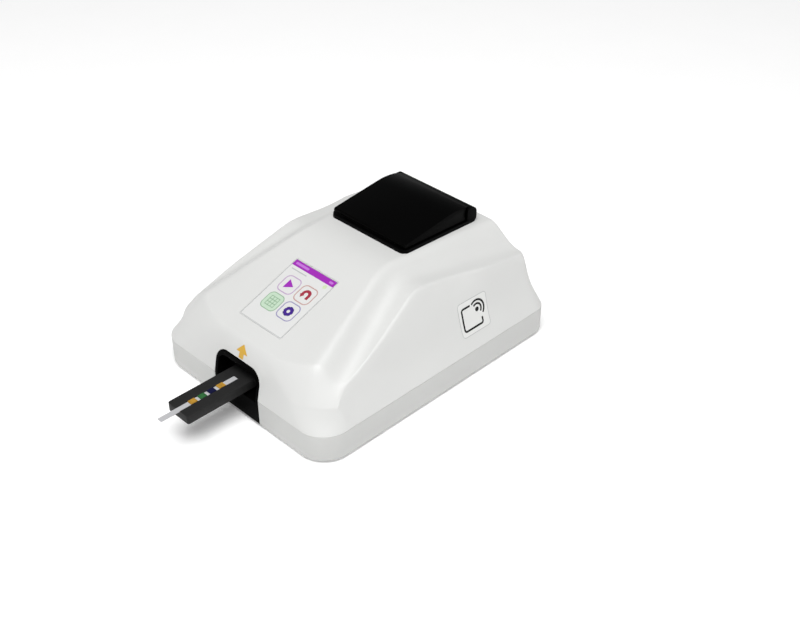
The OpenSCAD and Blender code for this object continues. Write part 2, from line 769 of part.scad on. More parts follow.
module tray_pinion() {
    color("ivory") difference() {
        along_x(-rack_w / 2 + 0.3, rack_w / 2 - 0.3) translate([pinion_y, pinion_z])
            rotate(90 + 180 / pinion_teeth) gear2d(tooth_m, pinion_teeth);
        rod_x(-rack_w, rack_w, pinion_y, pinion_z, shaft_r);
    }
}
module pinion_shaft() {
    color("silver") rod_x(motor_plate_x - motor_plate_t - 1, lug_x + lug_t, pinion_y, pinion_z, shaft_r);
}
module tray_motor() {
    face_x = motor_plate_x - motor_plate_t;
    color("silver") difference() {
        union() {
            rod_x(face_x - motor_len, face_x, pinion_y, pinion_z, motor_r);
            rod_x(face_x - eps, face_x + motor_plate_t, pinion_y, pinion_z, motor_boss_r);
            block([face_x - motor_len + 4, face_x - 5], [pinion_y - 5, pinion_y + 5],
                [pinion_z - motor_r - 1, pinion_z]);
        }
        rod_x(face_x - 3, face_x + motor_plate_t + 1, pinion_y, pinion_z, shaft_r + run_gap);
    }
}

module strip_backing() {
    z = tray_top - groove_h;
    color("white") translate([0, 0, z + 0.05]) linear_extrude(strip_t)
        round_box2d([-strip_w / 2, strip_front], [strip_w / 2, strip_rear], 0.8);
}
module pad(k) {
    z = tray_top - groove_h + 0.05 + strip_t;
    y = pad_first + pad_pitch * k;
    block([-strip_w / 2, strip_w / 2], [y - pad_len / 2, y + pad_len / 2], [z, z + pad_t]);
}
module pads_orange() {
    color("orange") {
        pad(0);
        pad(3);
    }
}
module pad_green() {
    color("green") pad(1);
}
module pad_blue() {
    color("navy") pad(2);
}

module optics_housing() {
    half = guide_out;
    mid = optics_y + optics_l / 2;
    top = guide_top + optics_h;
    color([0.12, 0.12, 0.12]) difference() {
        block([-half, half], [optics_y, optics_y + optics_l], [guide_top, top]);
        rod_z(0, mid, guide_top - 1, top + 1, lens_r - lens_lip);
        rod_z(0, mid, top - lens_seat, top + 1, lens_r);
        for (s = [-1, 1]) translate([0, mid, guide_top]) rotate([s * led_tilt, 0, 0])
            translate([0, 0, -led_bore_r]) cylinder(h = 2.2 * optics_h, r = led_bore_r);
    }
}
module optics_lens() {
    z = guide_top + optics_h - lens_seat;
    color("lightcyan") rod_z(0, optics_y + optics_l / 2, z, z + lens_t, lens_r);
}
module led_board() {
    z = guide_top + optics_h;
    color("darkgreen") difference() {
        block([-guide_out, guide_out], [optics_y - 2, optics_y + optics_l + 2], [z, z + led_board_t]);
        for (s = [-1, 1])
            rod_z(s * (guide_out - 3), optics_y + optics_l / 2, z - 1, z + led_board_t + 1, 1.2);
    }
}

module touch_glass() {
    color([0.9, 0.9, 0.95]) on_slope() translate([0, 0, -glass_t]) linear_extrude(glass_t)
        round_box2d([-screen_w / 2, -screen_l / 2], [screen_w / 2, screen_l / 2], 1);
}
module lcd_module() {
    low = wall + 0.1;
    color("silver") on_slope() {
        block([-screen_w / 2 - lcd_edge, screen_w / 2 + lcd_edge],
            [-screen_l / 2 - lcd_edge, screen_l / 2 + lcd_edge], [-low - lcd_t, -low]);
        block([-screen_w / 2, screen_w / 2], [-screen_l / 2, screen_l / 2],
            [-low - eps, -glass_t - 0.05]);
    }
}
module display_board() {
    top = wall + 0.1 + lcd_t;
    color("darkgreen") on_slope() difference() {
        block([-screen_w / 2 - lcd_edge, screen_w / 2 + lcd_edge],
            [-screen_l / 2 - lcd_edge, screen_l / 2 + lcd_edge], [-top - board_t, -top]);
        for (x = [-1, 1], y = [-1, 1]) rod_z(x * screen_w / 2, y * screen_l / 2,
            -top - board_t - 1, -top + 1, 1.2);
    }
}

module main_board() {
    top = main_z + board_t - eps;
    color("darkgreen") difference() {
        union() {
            block([main_left, main_right], [main_front, main_rear], [main_z, main_z + board_t]);
            block([-chip_w / 2, chip_w / 2], [main_front + chip_back, main_front + chip_back + chip_w],
                [top, top + chip_h]);
            for (k = [0:part_n - 1]) translate([part_x + 2 * part_w * k, 0, 0])
                block([0, part_w], [main_front + part_back, main_front + part_back + part_l],
                    [top, top + part_h]);
            block([header_x, header_x + header_w],
                [main_front + header_back, main_front + header_back + header_l], [top, top + header_h]);
        }
        for (x = board_xs, y = board_ys) rod_z(x, y, main_z - 1, main_z + board_t + 1, screw_hole_r);
    }
}
module board_screws() {
    z = main_z + board_t;
    color("silver") for (x = board_xs, y = board_ys) {
        rod_z(x, y, z, z + screw_head_h, screw_head_r);
        rod_z(x, y, tub_z + 2, z + eps, screw_r - 0.4);
    }
}
module reader_board() {
    color("darkgreen") block([reader_x, reader_x + board_t],
        [reader_y - reader_w / 2, reader_y + reader_w / 2], [floor_z, floor_z + reader_h]);
}

module printer_frame() {
    color([0.06, 0.06, 0.06]) in_printer() difference() {
        union() {
            linear_extrude(frame_t) difference() {
                round_box2d([-printer_w / 2, 0], [printer_w / 2, printer_d], frame_r);
                translate([bar_side - printer_w / 2, bar_front])
                    square([printer_w - 2 * bar_side, printer_d - bar_front - bar_rear]);
            }
            both_sides() along_x(ear_in, ear_out)
                round_box2d([hinge_y - ear_half, frame_t - ear_r], [hinge_y + ear_half, hinge_z + hinge_r], ear_r);
        }
        rod_x(-pin_half, pin_half, hinge_y, hinge_z, pin_r);
    }
}
module hinge_pin() {
    color("silver") in_printer() rod_x(-pin_half, pin_half, hinge_y, hinge_z, pin_r);
}

// Side outline of the cover: low at the front, with a crown before the hinge
crown_n = 8;
module cover2d() {
    edge = 1;
    polygon(concat(
        [[hinge_y - hinge_r, cover_low], [hinge_y + edge, hinge_z]],
        [for (i = [0:crown_n]) let (y = hinge_y + (crown_y - hinge_y) * i / crown_n) [y, cover_top(y)]],
        [[cover_front + edge, cover_top(cover_front + edge)],
            [cover_front, cover_top(cover_front) - edge], [cover_front, cover_low]]));
    translate([hinge_y, hinge_z]) circle(hinge_r);
}
module cover_hollow2d() {
    y0 = cover_front + cover_t;
    y1 = hinge_y - hinge_r - cover_t;
    polygon([[y0, cover_low - 1], [y1, cover_low - 1], [y1, cover_top(y1) - cover_t],
        [crown_y, cover_top(crown_y) - cover_t], [y0, cover_top(y0) - cover_t]]);
}
module printer_cover() {
    low = cover_low;
    high = cover_top(crown_y) + 1;
    color([0.06, 0.06, 0.06]) in_printer() difference() {
        union() {
            difference() {
                intersection() {
                    along_x(-cover_half, cover_half) cover2d();
                    along_y(0, printer_d) polygon([[-cover_half, low - 1], [cover_half, low - 1],
                        [cover_half, low + 1], [cover_half - (high - low) * tan(cover_lean), high + 1],
                        [(high - low) * tan(cover_lean) - cover_half, high + 1], [-cover_half, low + 1]]);
                }
                along_x(-arm_x - arm_t, arm_x + arm_t) cover_hollow2d();
            }
            both_sides() along_x(arm_x, arm_x + arm_t) {
                translate([platen_y, platen_z]) circle(arm_r);
                translate([platen_y - arm_r, platen_z])
                    square([2 * arm_r, cover_top(platen_y) - cover_t / 2 - platen_z]);
            }
        }
        both_sides() along_x(knuckle_half, printer_w) translate([hinge_y, hinge_z]) circle(notch_r);
        rod_x(-printer_w, printer_w, hinge_y, hinge_z, pin_r + run_gap);
        rod_x(-printer_w, printer_w, platen_y, platen_z, bushing_r);
    }
}
module platen_bushings() {
    color("ivory") in_printer() both_sides() difference() {
        rod_x(arm_x, arm_x + arm_t, platen_y, platen_z, bushing_r);
        rod_x(arm_x - 1, arm_x + arm_t + 1, platen_y, platen_z, platen_shaft_r + run_gap);
    }
}
module platen_roller() {
    color([0.18, 0.18, 0.18]) in_printer() difference() {
        rod_x(-platen_half, platen_half, platen_y, platen_z, platen_r);
        rod_x(-platen_half - 1, platen_half + 1, platen_y, platen_z, platen_shaft_r);
    }
}
module platen_shaft() {
    color("silver") in_printer() rod_x(gear_x, arm_x + arm_t + 0.8, platen_y, platen_z, platen_shaft_r);
}
module platen_gear() {
    color("ivory") in_printer() difference() {
        along_x(gear_x, gear_x + gear_w) translate([platen_y, platen_z])
            rotate(drive_turn + 180) gear2d(gear_m, platen_teeth);
        rod_x(gear_x - 1, gear_x + gear_w + 1, platen_y, platen_z, platen_shaft_r);
    }
}
module drive_gear() {
    color("ivory") in_printer() difference() {
        along_x(gear_x, gear_x + gear_w) translate([drive_y, drive_z])
            rotate(drive_turn + 180 / drive_teeth) gear2d(gear_m, drive_teeth);
        rod_x(gear_x - 1, gear_x + gear_w + 1, drive_y, drive_z, 1);
    }
}
module motor_shaft() {
    color("silver") in_printer() rod_x(gear_x, gear_x + gear_w + 4, drive_y, drive_z, 1);
}
module printer_motor() {
    x0 = gear_x + gear_w + 1.5;
    color("silver") in_printer() difference() {
        rod_x(x0, x0 + printer_motor_len, drive_y, drive_z, printer_motor_r);
        rod_x(x0 - 1, x0 + 4, drive_y, drive_z, 1 + run_gap);
    }
}
module paper_bucket() {
    motor_x = gear_x + gear_w + 1.5;
    color([0.1, 0.1, 0.1]) in_printer() {
        difference() {
            along_x(-bucket_half, bucket_half) {
                translate([bucket_front, bay_z - bucket_wall]) square([bay_rear, -bay_z + bucket_wall]);
                translate([bay_rear, roll_cell_z]) square([bucket_rear - bay_rear, -roll_cell_z]);
                translate([roll_y, roll_cell_z]) circle(roll_cell_r + bucket_wall);
            }
            along_x(-bucket_in, bucket_in)
                translate([bay_front, bay_z]) square([bay_rear - bay_front + 1, 1 - bay_z]);
            along_x(-roll_half - 0.8, roll_half + 0.8) {
                translate([roll_y, roll_cell_z]) circle(roll_cell_r);
                translate([roll_y - roll_cell_r, roll_cell_z])
                    square([2 * roll_cell_r, 1 - roll_cell_z]);
                translate([bay_rear - 1, bay_z + 8]) square([roll_y - bay_rear, 1 - bay_z - 8]);
            }
        }
        block([motor_x + 2, motor_x + printer_motor_len - 2], [drive_y - 3, drive_y + 3],
            [bay_z - eps, drive_z - printer_motor_r - set_gap]);
    }
}
module print_head() {
    color("silver") in_printer() {
        block([-head_half, head_half], [head_y, head_y + head_t], [head_top - head_h, head_top]);
    }
}
// Leaf spring that presses the head against the platen
module head_spring() {
    spring_w = 12;
    leaf = 0.3;
    y0 = bay_front;
    y1 = head_y;
    z1 = head_top - 3;
    z0 = head_top - head_h + 3;
    zm = (z0 + z1) / 2;
    color("silver") in_printer() along_x(-spring_w, spring_w) polygon([
        [y0, z0 - 1], [y0 + leaf, z0 - 1], [y0 + leaf, z0], [y1, zm - 1], [y1, zm + 1],
        [y0 + leaf, z1], [y0 + leaf, z1 + 1], [y0, z1 + 1], [y0, z1 - 0.2],
        [y1 - leaf, zm + 0.8], [y1 - leaf, zm - 0.8], [y0, z0 + 0.2]]);
}
module tear_bar() {
    pitch = 2 * tear_half / tear_n;
    y0 = cover_front + 0.2;
    color("silver") in_printer() translate([0, 0, frame_t]) linear_extrude(0.6) {
        translate([-tear_half, y0 + 0.8]) square([2 * tear_half, bar_front - y0 - 1]);
        for (k = [0:tear_n - 1]) translate([-tear_half + pitch * k, y0 + 0.8 + eps])
            polygon([[0, 0], [pitch / 2, -0.8], [pitch, 0]]);
    }
}
module paper_roll() {
    color("white") in_printer() difference() {
        rod_x(-roll_half, roll_half, roll_y, roll_z, roll_r);
        rod_x(-roll_half - 1, roll_half + 1, roll_y, roll_z, core_r);
    }
}
module roll_core() {
    color("tan") in_printer() difference() {
        rod_x(-roll_half, roll_half, roll_y, roll_z, core_r);
        rod_x(-roll_half - 1, roll_half + 1, roll_y, roll_z, core_in_r);
    }
}

// A socket on the rear edge of the main board, with an opening of the given size
module socket(x, size, open, depth) {
    difference() {
        block([x - size.x / 2, x + size.x / 2], [rear_y - port_depth, rear_y - 0.2],
            [port_z, port_z + size.y]);
        translate([x - open.x / 2, rear_y - depth, port_z + size.y / 2 - open.y / 2])
            cube([open.x, depth + 1, open.y]);
    }
}
module power_inlet() {
    y = rear_y - 0.2;
    z = port_z + inlet_size.y / 2;
    color([0.1, 0.1, 0.1]) {
        difference() {
            block([inlet_x - inlet_size.x / 2, inlet_x + inlet_size.x / 2], [rear_y - port_depth, y],
                [port_z, port_z + inlet_size.y]);
            translate([inlet_x, y + 1, z]) rotate([90, 0, 0]) cylinder(h = 10, r = 3);
        }
        translate([inlet_x, y - 1, z]) rotate([90, 0, 0]) cylinder(h = 9, r = 1);
    }
}
module usb_port() {
    open = [usb_size.x - 2 * port_wall, usb_size.y - 2 * port_wall];
    z = port_z + usb_size.y / 2;
    color("silver") {
        socket(usb_x, usb_size, open, port_depth - 2);
        block([usb_x - open.x / 2 + 0.6, usb_x + open.x / 2 - 0.6], [rear_y - port_depth + 1, rear_y - 1],
            [z, z + 1.8]);
    }
}
module device_port() {
    open = [device_size.x - 4 * port_wall, device_size.y - 4 * port_wall];
    z = port_z + device_size.y / 2;
    color("silver") {
        socket(device_x, device_size, open, port_depth - 3);
        block([device_x - 2.6, device_x + 2.6], [rear_y - port_depth + 1, rear_y - 1], [z - 1.5, z + 1.5]);
    }
}
module serial_port() {
    open = [17, 8];
    z = port_z + serial_size.y / 2;
    color("silver") {
        socket(serial_x, serial_size, open, 6);
        for (row = [0, 1], k = [0:4 - row]) translate([serial_x + 2.7 * (k - 2 + row / 2), rear_y - 1.5,
            z + 1.4 - 2.8 * row]) rotate([90, 0, 0]) cylinder(h = 6, r = 0.5);
    }
}
module switch_housing() {
    half_w = switch_w / 2;
    half_h = switch_h / 2;
    pivot_y = rear_y - rocker_sink;
    color([0.1, 0.1, 0.1]) difference() {
        union() {
            block([switch_x - half_w, switch_x + half_w], [rear_y - switch_depth, rear_y],
                [switch_z - half_h, switch_z + half_h]);
            block([switch_x - half_w - 1.2, switch_x + half_w + 1.2], [rear_y - eps, rear_y + switch_lip],
                [switch_z - half_h - 1.2, switch_z + half_h + 1.2]);
        }
        block([switch_x - rocker_l / 2 - 0.6, switch_x + rocker_l / 2 + 0.6],
            [pivot_y - rocker_root - 3, rear_y + switch_lip + 1],
            [switch_z - rocker_h / 2 - slide_gap, switch_z + rocker_h / 2 + slide_gap]);
        rod_z(switch_x, pivot_y, switch_z - half_h + 0.2, switch_z + half_h - 0.2, rocker_pin_r + run_gap);
    }
}
module switch_rocker() {
    half = rocker_l / 2;
    pin_half = switch_h / 2 - 0.5;
    color([0.08, 0.08, 0.08]) translate([switch_x, rear_y - rocker_sink, switch_z])
        rotate([0, 0, rocker_tilt]) {
            translate([0, 0, -rocker_h / 2]) linear_extrude(rocker_h) polygon([[-half, -rocker_root],
                [half, -rocker_root], [half, rocker_end], [0, rocker_mid], [-half, rocker_end]]);
            rod_z(0, 0, -pin_half, pin_half, rocker_pin_r);
        }
}

base_tub();
upper_shell();
front_bezel();
feet();
case_screws();
tray_guide();
guide_screws();
strip_tray();
tray_rack();
reference_tile();
tray_pinion();
pinion_shaft();
tray_motor();
strip_backing();
pads_orange();
pad_green();
pad_blue();
optics_housing();
optics_lens();
led_board();
touch_glass();
lcd_module();
display_board();
main_board();
reader_board();
board_screws();
printer_frame();
paper_bucket();
print_head();
head_spring();
tear_bar();
printer_motor();
motor_shaft();
drive_gear();
printer_cover();
hinge_pin();
platen_roller();
platen_shaft();
platen_gear();
platen_bushings();
paper_roll();
roll_core();
power_inlet();
usb_port();
device_port();
serial_port();
switch_housing();
switch_rocker();
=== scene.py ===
# Scene for the strip analyzer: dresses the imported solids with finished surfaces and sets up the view.
import json
import math

import bmesh
import bpy
import numpy as np
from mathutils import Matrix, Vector


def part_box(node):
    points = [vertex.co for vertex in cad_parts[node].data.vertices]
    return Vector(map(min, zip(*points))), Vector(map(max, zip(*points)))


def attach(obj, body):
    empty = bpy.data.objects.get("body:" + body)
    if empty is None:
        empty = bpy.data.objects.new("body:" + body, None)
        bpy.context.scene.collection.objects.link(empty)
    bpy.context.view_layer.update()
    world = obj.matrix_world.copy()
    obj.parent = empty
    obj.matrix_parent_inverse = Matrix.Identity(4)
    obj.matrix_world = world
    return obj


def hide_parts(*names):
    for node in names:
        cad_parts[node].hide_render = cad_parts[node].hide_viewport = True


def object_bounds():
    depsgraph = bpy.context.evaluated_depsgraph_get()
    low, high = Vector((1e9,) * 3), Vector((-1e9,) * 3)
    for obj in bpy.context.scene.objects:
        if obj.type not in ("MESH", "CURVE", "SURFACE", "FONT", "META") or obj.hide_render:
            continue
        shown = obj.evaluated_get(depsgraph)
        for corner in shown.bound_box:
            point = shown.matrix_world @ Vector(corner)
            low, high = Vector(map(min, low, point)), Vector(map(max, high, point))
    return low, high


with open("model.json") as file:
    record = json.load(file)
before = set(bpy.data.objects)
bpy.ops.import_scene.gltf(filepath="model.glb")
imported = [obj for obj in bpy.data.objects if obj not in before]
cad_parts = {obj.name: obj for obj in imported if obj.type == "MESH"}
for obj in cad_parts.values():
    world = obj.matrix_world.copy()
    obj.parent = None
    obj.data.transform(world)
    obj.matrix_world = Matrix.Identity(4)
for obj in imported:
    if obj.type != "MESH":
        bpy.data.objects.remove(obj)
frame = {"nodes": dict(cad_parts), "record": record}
cad_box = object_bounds()
MM = 0.001

# Sizes in millimetres, as in the part's source
BODY_W = 200.0
BODY_D = 259.0
FRONT_R = 24.0
REAR_R = 15.5
WALL = 2.6
TUB_Z = 3.0
SPLIT_Z = 25.6
FRONT_H = 36.3
FRONT_LEAN = math.radians(12.4)
SLOPE_A = math.radians(20.5)
PLATEAU_H = 75.8
PLATEAU_TILT = math.radians(2.6)
HOOD_HALF = 44.8
HOOD_SIDE_A = math.radians(46)
HOOD_SPREAD = 0.086
HOOD_WIDEN = 0.024
SHOULDER_DROP = 11.0
SHOULDER_TILT = math.radians(7.4)
SHOULDER_FRONT_H = 17.0
SHOULDER_A = math.radians(23.3)
FLANK_A = math.radians(25)
FLANK_X = 105.0
FLANK_Y = 75.0
FLANK_BOW = 0.19
FLANK_K = 5.0
BOW_K = 20.0
SIDE_LEAN = math.radians(12)
FLARE_A = math.radians(24)
FLARE_H = 22.0
CORNER_GROW = 1.05
CORNER_MOST = 0.85
CREASE_A = math.radians(33)
CREASE_H = 18.0
REAR_TIGHT = 0.6
FRONT_K = 26.0
SIDE_K = 10.0
CORNER_K = 20.0
BEND_K = 6.0
HOOD_K = 4.0
VALLEY_K = 8.0
FLARE_K = 8.0
BEZEL_W = 52.8
BEZEL_H = 46.0
BEZEL_R = 11.5
BEZEL_D = 16.0
SCREEN_W = 49.0
SCREEN_L = 65.0
SCREEN_UP = 53.5
PRINTER_BACK = 141.0
SET_GAP = 0.2
ROCKER_OUT = 2.7021

# Places that follow from the sizes; the switch rocker stands out furthest at the rear
CENTRE_Y = cad_box[1][1] / MM - BODY_D / 2 - ROCKER_OUT
FRONT_Y = CENTRE_Y - BODY_D / 2
REAR_Y = CENTRE_Y + BODY_D / 2
BEND_Y = FRONT_Y + FRONT_H * math.tan(FRONT_LEAN)
PRINTER_Y = FRONT_Y + PRINTER_BACK
PLATEAU_Z = SPLIT_Z + PLATEAU_H
HOOD_TOP_Y = BEND_Y + (PLATEAU_H - FRONT_H) / math.tan(SLOPE_A)
FLARE_M = 1 / math.tan(FLARE_A)
SIDE_M = 1 / math.tan(SIDE_LEAN)
FRONT_M = 1 / math.tan(FRONT_LEAN)
FLARE_D = FLARE_H / FLARE_M - FLARE_H / SIDE_M
WALL_IN = WALL / math.cos(FLARE_A)
LEAST_R = 2.0
RING_DEEP = BODY_W / 2 - 2 * LEAST_R


# Smooth least and greatest of two heights
def smin(a, b, k):
    h = np.maximum(k - np.abs(a - b), 0) / k
    return np.minimum(a, b) - h * h * k / 4


def smax(a, b, k):
    return -smin(-a, -b, k)


# Height of the roof over a point, lowered by a wall thickness t
def roof_z(x, y, t=0.0):
    slope = SPLIT_Z + FRONT_H + (y - BEND_Y) * math.tan(SLOPE_A) - t / math.cos(SLOPE_A)
    plateau = PLATEAU_Z - (y - PRINTER_Y) * math.tan(PLATEAU_TILT) - t / math.cos(PLATEAU_TILT)
    side = PLATEAU_Z + (HOOD_HALF - np.abs(x)) * math.tan(HOOD_SIDE_A) - t / math.cos(HOOD_SIDE_A)
    side = side + HOOD_SPREAD * smin(0.0, y - HOOD_TOP_Y, BEND_K)
    side = side + HOOD_WIDEN * smax(0.0, y - HOOD_TOP_Y, BEND_K)
    hood = smin(smin(slope, plateau, BEND_K), side, HOOD_K)
    rise = SPLIT_Z + SHOULDER_FRONT_H + (y - BEND_Y) * math.tan(SHOULDER_A) - t / math.cos(SHOULDER_A)
    ledge = PLATEAU_Z - SHOULDER_DROP - (y - PRINTER_Y) * math.tan(SHOULDER_TILT)
    ledge = ledge - t / math.cos(SHOULDER_TILT)
    half = FLANK_X + FLANK_BOW * smax(0.0, y - FLANK_Y, BOW_K)
    flank = SPLIT_Z + (half - np.abs(x)) / math.tan(FLANK_A) - t / math.sin(FLANK_A)
    shoulder = smin(smin(ledge, rise, BEND_K), flank, FLANK_K)
    return smax(hood, shoulder, VALLEY_K)


# Height of the side walls above the parting line, at a distance d inside the outline
def side_h(d):
    return smax(FLARE_M * d, SIDE_M * (d - FLARE_D), FLARE_K) - smax(0.0, -SIDE_M * FLARE_D, FLARE_K)


def shell_z(ring, d, t=0.0):
    k = SIDE_K + ring[:, 2] * (FRONT_K - SIDE_K)
    return smin(SPLIT_Z + side_h(d), roof_z(ring[:, 0], ring[:, 1], t), k)


# Outline at the height where the sides have come in by d, less an inset: x, y and share of the front
def outline(d, arc_n, side_n, end_n, inset=0.0):
    h = float(side_h(d))
    hx = BODY_W / 2 - d - inset
    y0 = FRONT_Y + h / FRONT_M + inset
    y1 = REAR_Y - d - inset
    widest = CORNER_MOST * (BODY_W / 2 - d)
    big = float(smin(FRONT_R + CORNER_GROW * h, widest, CORNER_K))
    cx = BODY_W / 2 - d - big * math.cos(CREASE_A * min(h / CREASE_H, 1))
    rf = big - inset
    cy = y0 + rf
    turn = math.degrees(math.acos(min((hx - cx) / rf, 1)))
    rr = max(REAR_R - REAR_TIGHT * d - inset, LEAST_R)
    end_y = cy - rf * math.sin(math.radians(turn))

    def arc(x, y, r, start, end, first, last):
        f = np.arange(arc_n + 1) / arc_n
        a = np.radians(start + (end - start) * f)
        s = first + (last - first) * f
        return np.stack([x + r * np.cos(a), y + r * np.sin(a), s * s * (3 - 2 * s)], 1)

    def run(p, q, share, n):
        f = np.arange(1, n)[:, None] / n
        xy = np.array([p]) * (1 - f) + np.array([q]) * f
        return np.concatenate([xy, np.full((n - 1, 1), share)], 1)

    return np.concatenate([
        arc(cx, cy, rf, -90, -turn, 1, 0), run((hx, end_y), (hx, y1 - rr), 0, side_n),
        arc(hx - rr, y1 - rr, rr, 0, 90, 0, 0), run((hx - rr, y1), (rr - hx, y1), 0, end_n),
        arc(rr - hx, y1 - rr, rr, 90, 180, 0, 0), run((-hx, y1 - rr), (-hx, end_y), 0, side_n),
        arc(-cx, cy, rf, 180 + turn, 270, 0, 1), run((-cx, y0), (cx, y0), 1, end_n)])


# Degrees under which faces join or shade as one, metres at which points join, points of a disc
FLAT_A, SMOOTH_A, SHELL_SMOOTH_A = 0.6, 40, 32
JOIN_M = 1e-6
DISC_N = 48


# New object from points in millimetres and faces
def mesh_object(name, points, faces):
    mesh = bpy.data.meshes.new(name)
    mesh.from_pydata([tuple(float(c) * MM for c in p) for p in points], [], [tuple(f) for f in faces])
    mesh.validate()
    obj = bpy.data.objects.new(name, mesh)
    bpy.context.scene.collection.objects.link(obj)
    return obj


def shade(obj, angle):
    obj.data.polygons.foreach_set("use_smooth", [True] * len(obj.data.polygons))
    obj.data.set_sharp_from_angle(angle=math.radians(angle))


# Side faces between rings of equal length, first to last
def ring_faces(count, n):
    faces = []
    for k in range(count - 1):
        for i in range(n):
            j = (i + 1) % n
            faces.append((k * n + i, k * n + j, (k + 1) * n + j, (k + 1) * n + i))
    return faces


# Cuts the second object out of the first and removes the cutter
def cut_out(obj, cutter):
    mod = obj.modifiers.new("cut", "BOOLEAN")
    mod.operation = "DIFFERENCE"
    mod.solver = "EXACT"
    mod.object = cutter
    bpy.context.view_layer.update()
    done = bpy.data.meshes.new_from_object(obj.evaluated_get(bpy.context.evaluated_depsgraph_get()))
    obj.modifiers.clear()
    obj.data = done
    bpy.data.objects.remove(cutter, do_unlink=True)
    return obj


# Points and faces of a closed prism over a flat outline: place maps (u, v, height) to millimetres
def slab(loop, low, high, place):
    n = len(loop)
    points = [place(u, v, low) for u, v in loop] + [place(u, v, high) for u, v in loop]
    faces = [tuple(range(n - 1, -1, -1)), tuple(range(n, 2 * n))]
    faces += [(i, (i + 1) % n, n + (i + 1) % n, n + i) for i in range(n)]
    return points, faces


def prism(name, loop, low, high, place):
    return mesh_object(name, *slab(loop, low, high, place))


# Points and faces of a raised line along a path, of one width or a width at each point
def band(path, width, low, high, place, closed=False):
    path = np.array(path, float)
    n = len(path)
    widths = np.broadcast_to(np.array(width, float), (n,))
    ahead = np.roll(path, -1, 0) - path
    behind = path - np.roll(path, 1, 0)
    if not closed:
        ahead[-1] = behind[-1]
        behind[0] = ahead[0]
    way = ahead / np.linalg.norm(ahead, axis=1)[:, None] + behind / np.linalg.norm(behind, axis=1)[:, None]
    way = way / np.linalg.norm(way, axis=1)[:, None]
    points = []
    for (u, v), (du, dv), w in zip(path, way, widths):
        left = (u - dv * w / 2, v + du * w / 2)
        right = (u + dv * w / 2, v - du * w / 2)
        points += [place(*left, low), place(*right, low), place(*right, high), place(*left, high)]
    faces = []
    for i in range(n if closed else n - 1):
        a, b = 4 * i, 4 * ((i + 1) % n)
        faces += [(a + k, a + (k + 1) % 4, b + (k + 1) % 4, b + k) for k in range(4)]
    if not closed:
        faces += [(3, 2, 1, 0), (4 * n - 4, 4 * n - 3, 4 * n - 2, 4 * n - 1)]
    return points, faces


# One print made of several raised shapes
def printed(name, shapes, material):
    points, faces = [], []
    for shape_points, shape_faces in shapes:
        faces += [tuple(i + len(points) for i in f) for f in shape_faces]
        points += shape_points
    obj = mesh_object(name, points, faces)
    bm = bmesh.new()
    bm.from_mesh(obj.data)
    bmesh.ops.recalc_face_normals(bm, faces=bm.faces)
    bm.to_mesh(obj.data)
    bm.free()
    return finish(obj, "housing", material)


def ring_path(r, start, end, n, u=0.0, v=0.0):
    turns = [math.radians(start + (end - start) * k / n) for k in range(n + 1)]
    return [(u + r * math.cos(a), v + r * math.sin(a)) for a in turns]


# Same path with its long stretches divided
def along(path, step, closed=True):
    ends = path[1:] + path[:1] if closed else path[1:]
    points = []
    for (a, b), (c, d) in zip(path, ends):
        n = max(1, round(math.hypot(c - a, d - b) / step))
        points += [(a + (c - a) * k / n, b + (d - b) * k / n) for k in range(n)]
    return points if closed else points + [path[-1]]


def polygon(n, r, u, v):
    return ring_path(r, 0, 360 - 360 / n, n - 1, u, v)


def disc(r, u, v):
    return polygon(DISC_N, r, u, v)


def round_rect(w, h, r, steps=6, u=0.0, v=0.0):
    loop = []
    for cx, cy, start in ((1, -1, -90), (1, 1, 0), (-1, 1, 90), (-1, -1, 180)):
        for k in range(steps + 1):
            a = math.radians(start + 90 * k / steps)
            loop.append((u + cx * (w / 2 - r) + r * math.cos(a), v + cy * (h / 2 - r) + r * math.sin(a)))
    return loop


# Copy of a solid with its flat faces joined and its edges rounded, in the solid's place
def soften(node, body, width, material, segments=3, angle=30):
    source = frame["nodes"][node]
    bm = bmesh.new()
    bm.from_mesh(source.data)
    bmesh.ops.remove_doubles(bm, verts=bm.verts, dist=JOIN_M)
    bmesh.ops.dissolve_limit(bm, angle_limit=math.radians(FLAT_A), verts=bm.verts, edges=bm.edges)
    edges = [e for e in bm.edges if len(e.link_faces) == 2
             and e.calc_face_angle(0) > math.radians(angle)]
    bmesh.ops.bevel(bm, geom=edges, offset=width * MM, segments=segments, profile=0.5,
                    affect="EDGES", clamp_overlap=True)
    bmesh.ops.recalc_face_normals(bm, faces=bm.faces)
    mesh = bpy.data.meshes.new(node + "_soft")
    bm.to_mesh(mesh)
    bm.free()
    obj = bpy.data.objects.new(node + "_soft", mesh)
    bpy.context.scene.collection.objects.link(obj)
    shade(obj, SMOOTH_A)
    return finish(obj, body, material, node)


# Gives a piece its material and body, and lets it stand for a solid
def finish(obj, body, material, node=None):
    obj.data.materials.clear()
    obj.data.materials.append(material)
    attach(obj, body)
    if node:
        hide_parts(node)
    return obj


# Node that maps one range of values to another
def map_range(tree, low, high, first, last):
    node = tree.nodes.new("ShaderNodeMapRange")
    for key, value in zip(("From Min", "From Max", "To Min", "To Max"), (low, high, first, last)):
        node.inputs[key].default_value = value
    return node


# Values between which a noise texture mostly lies, and the height of the fine relief in metres
NOISE_LOW, NOISE_HIGH = 0.3, 0.7
RELIEF_M = 0.0001


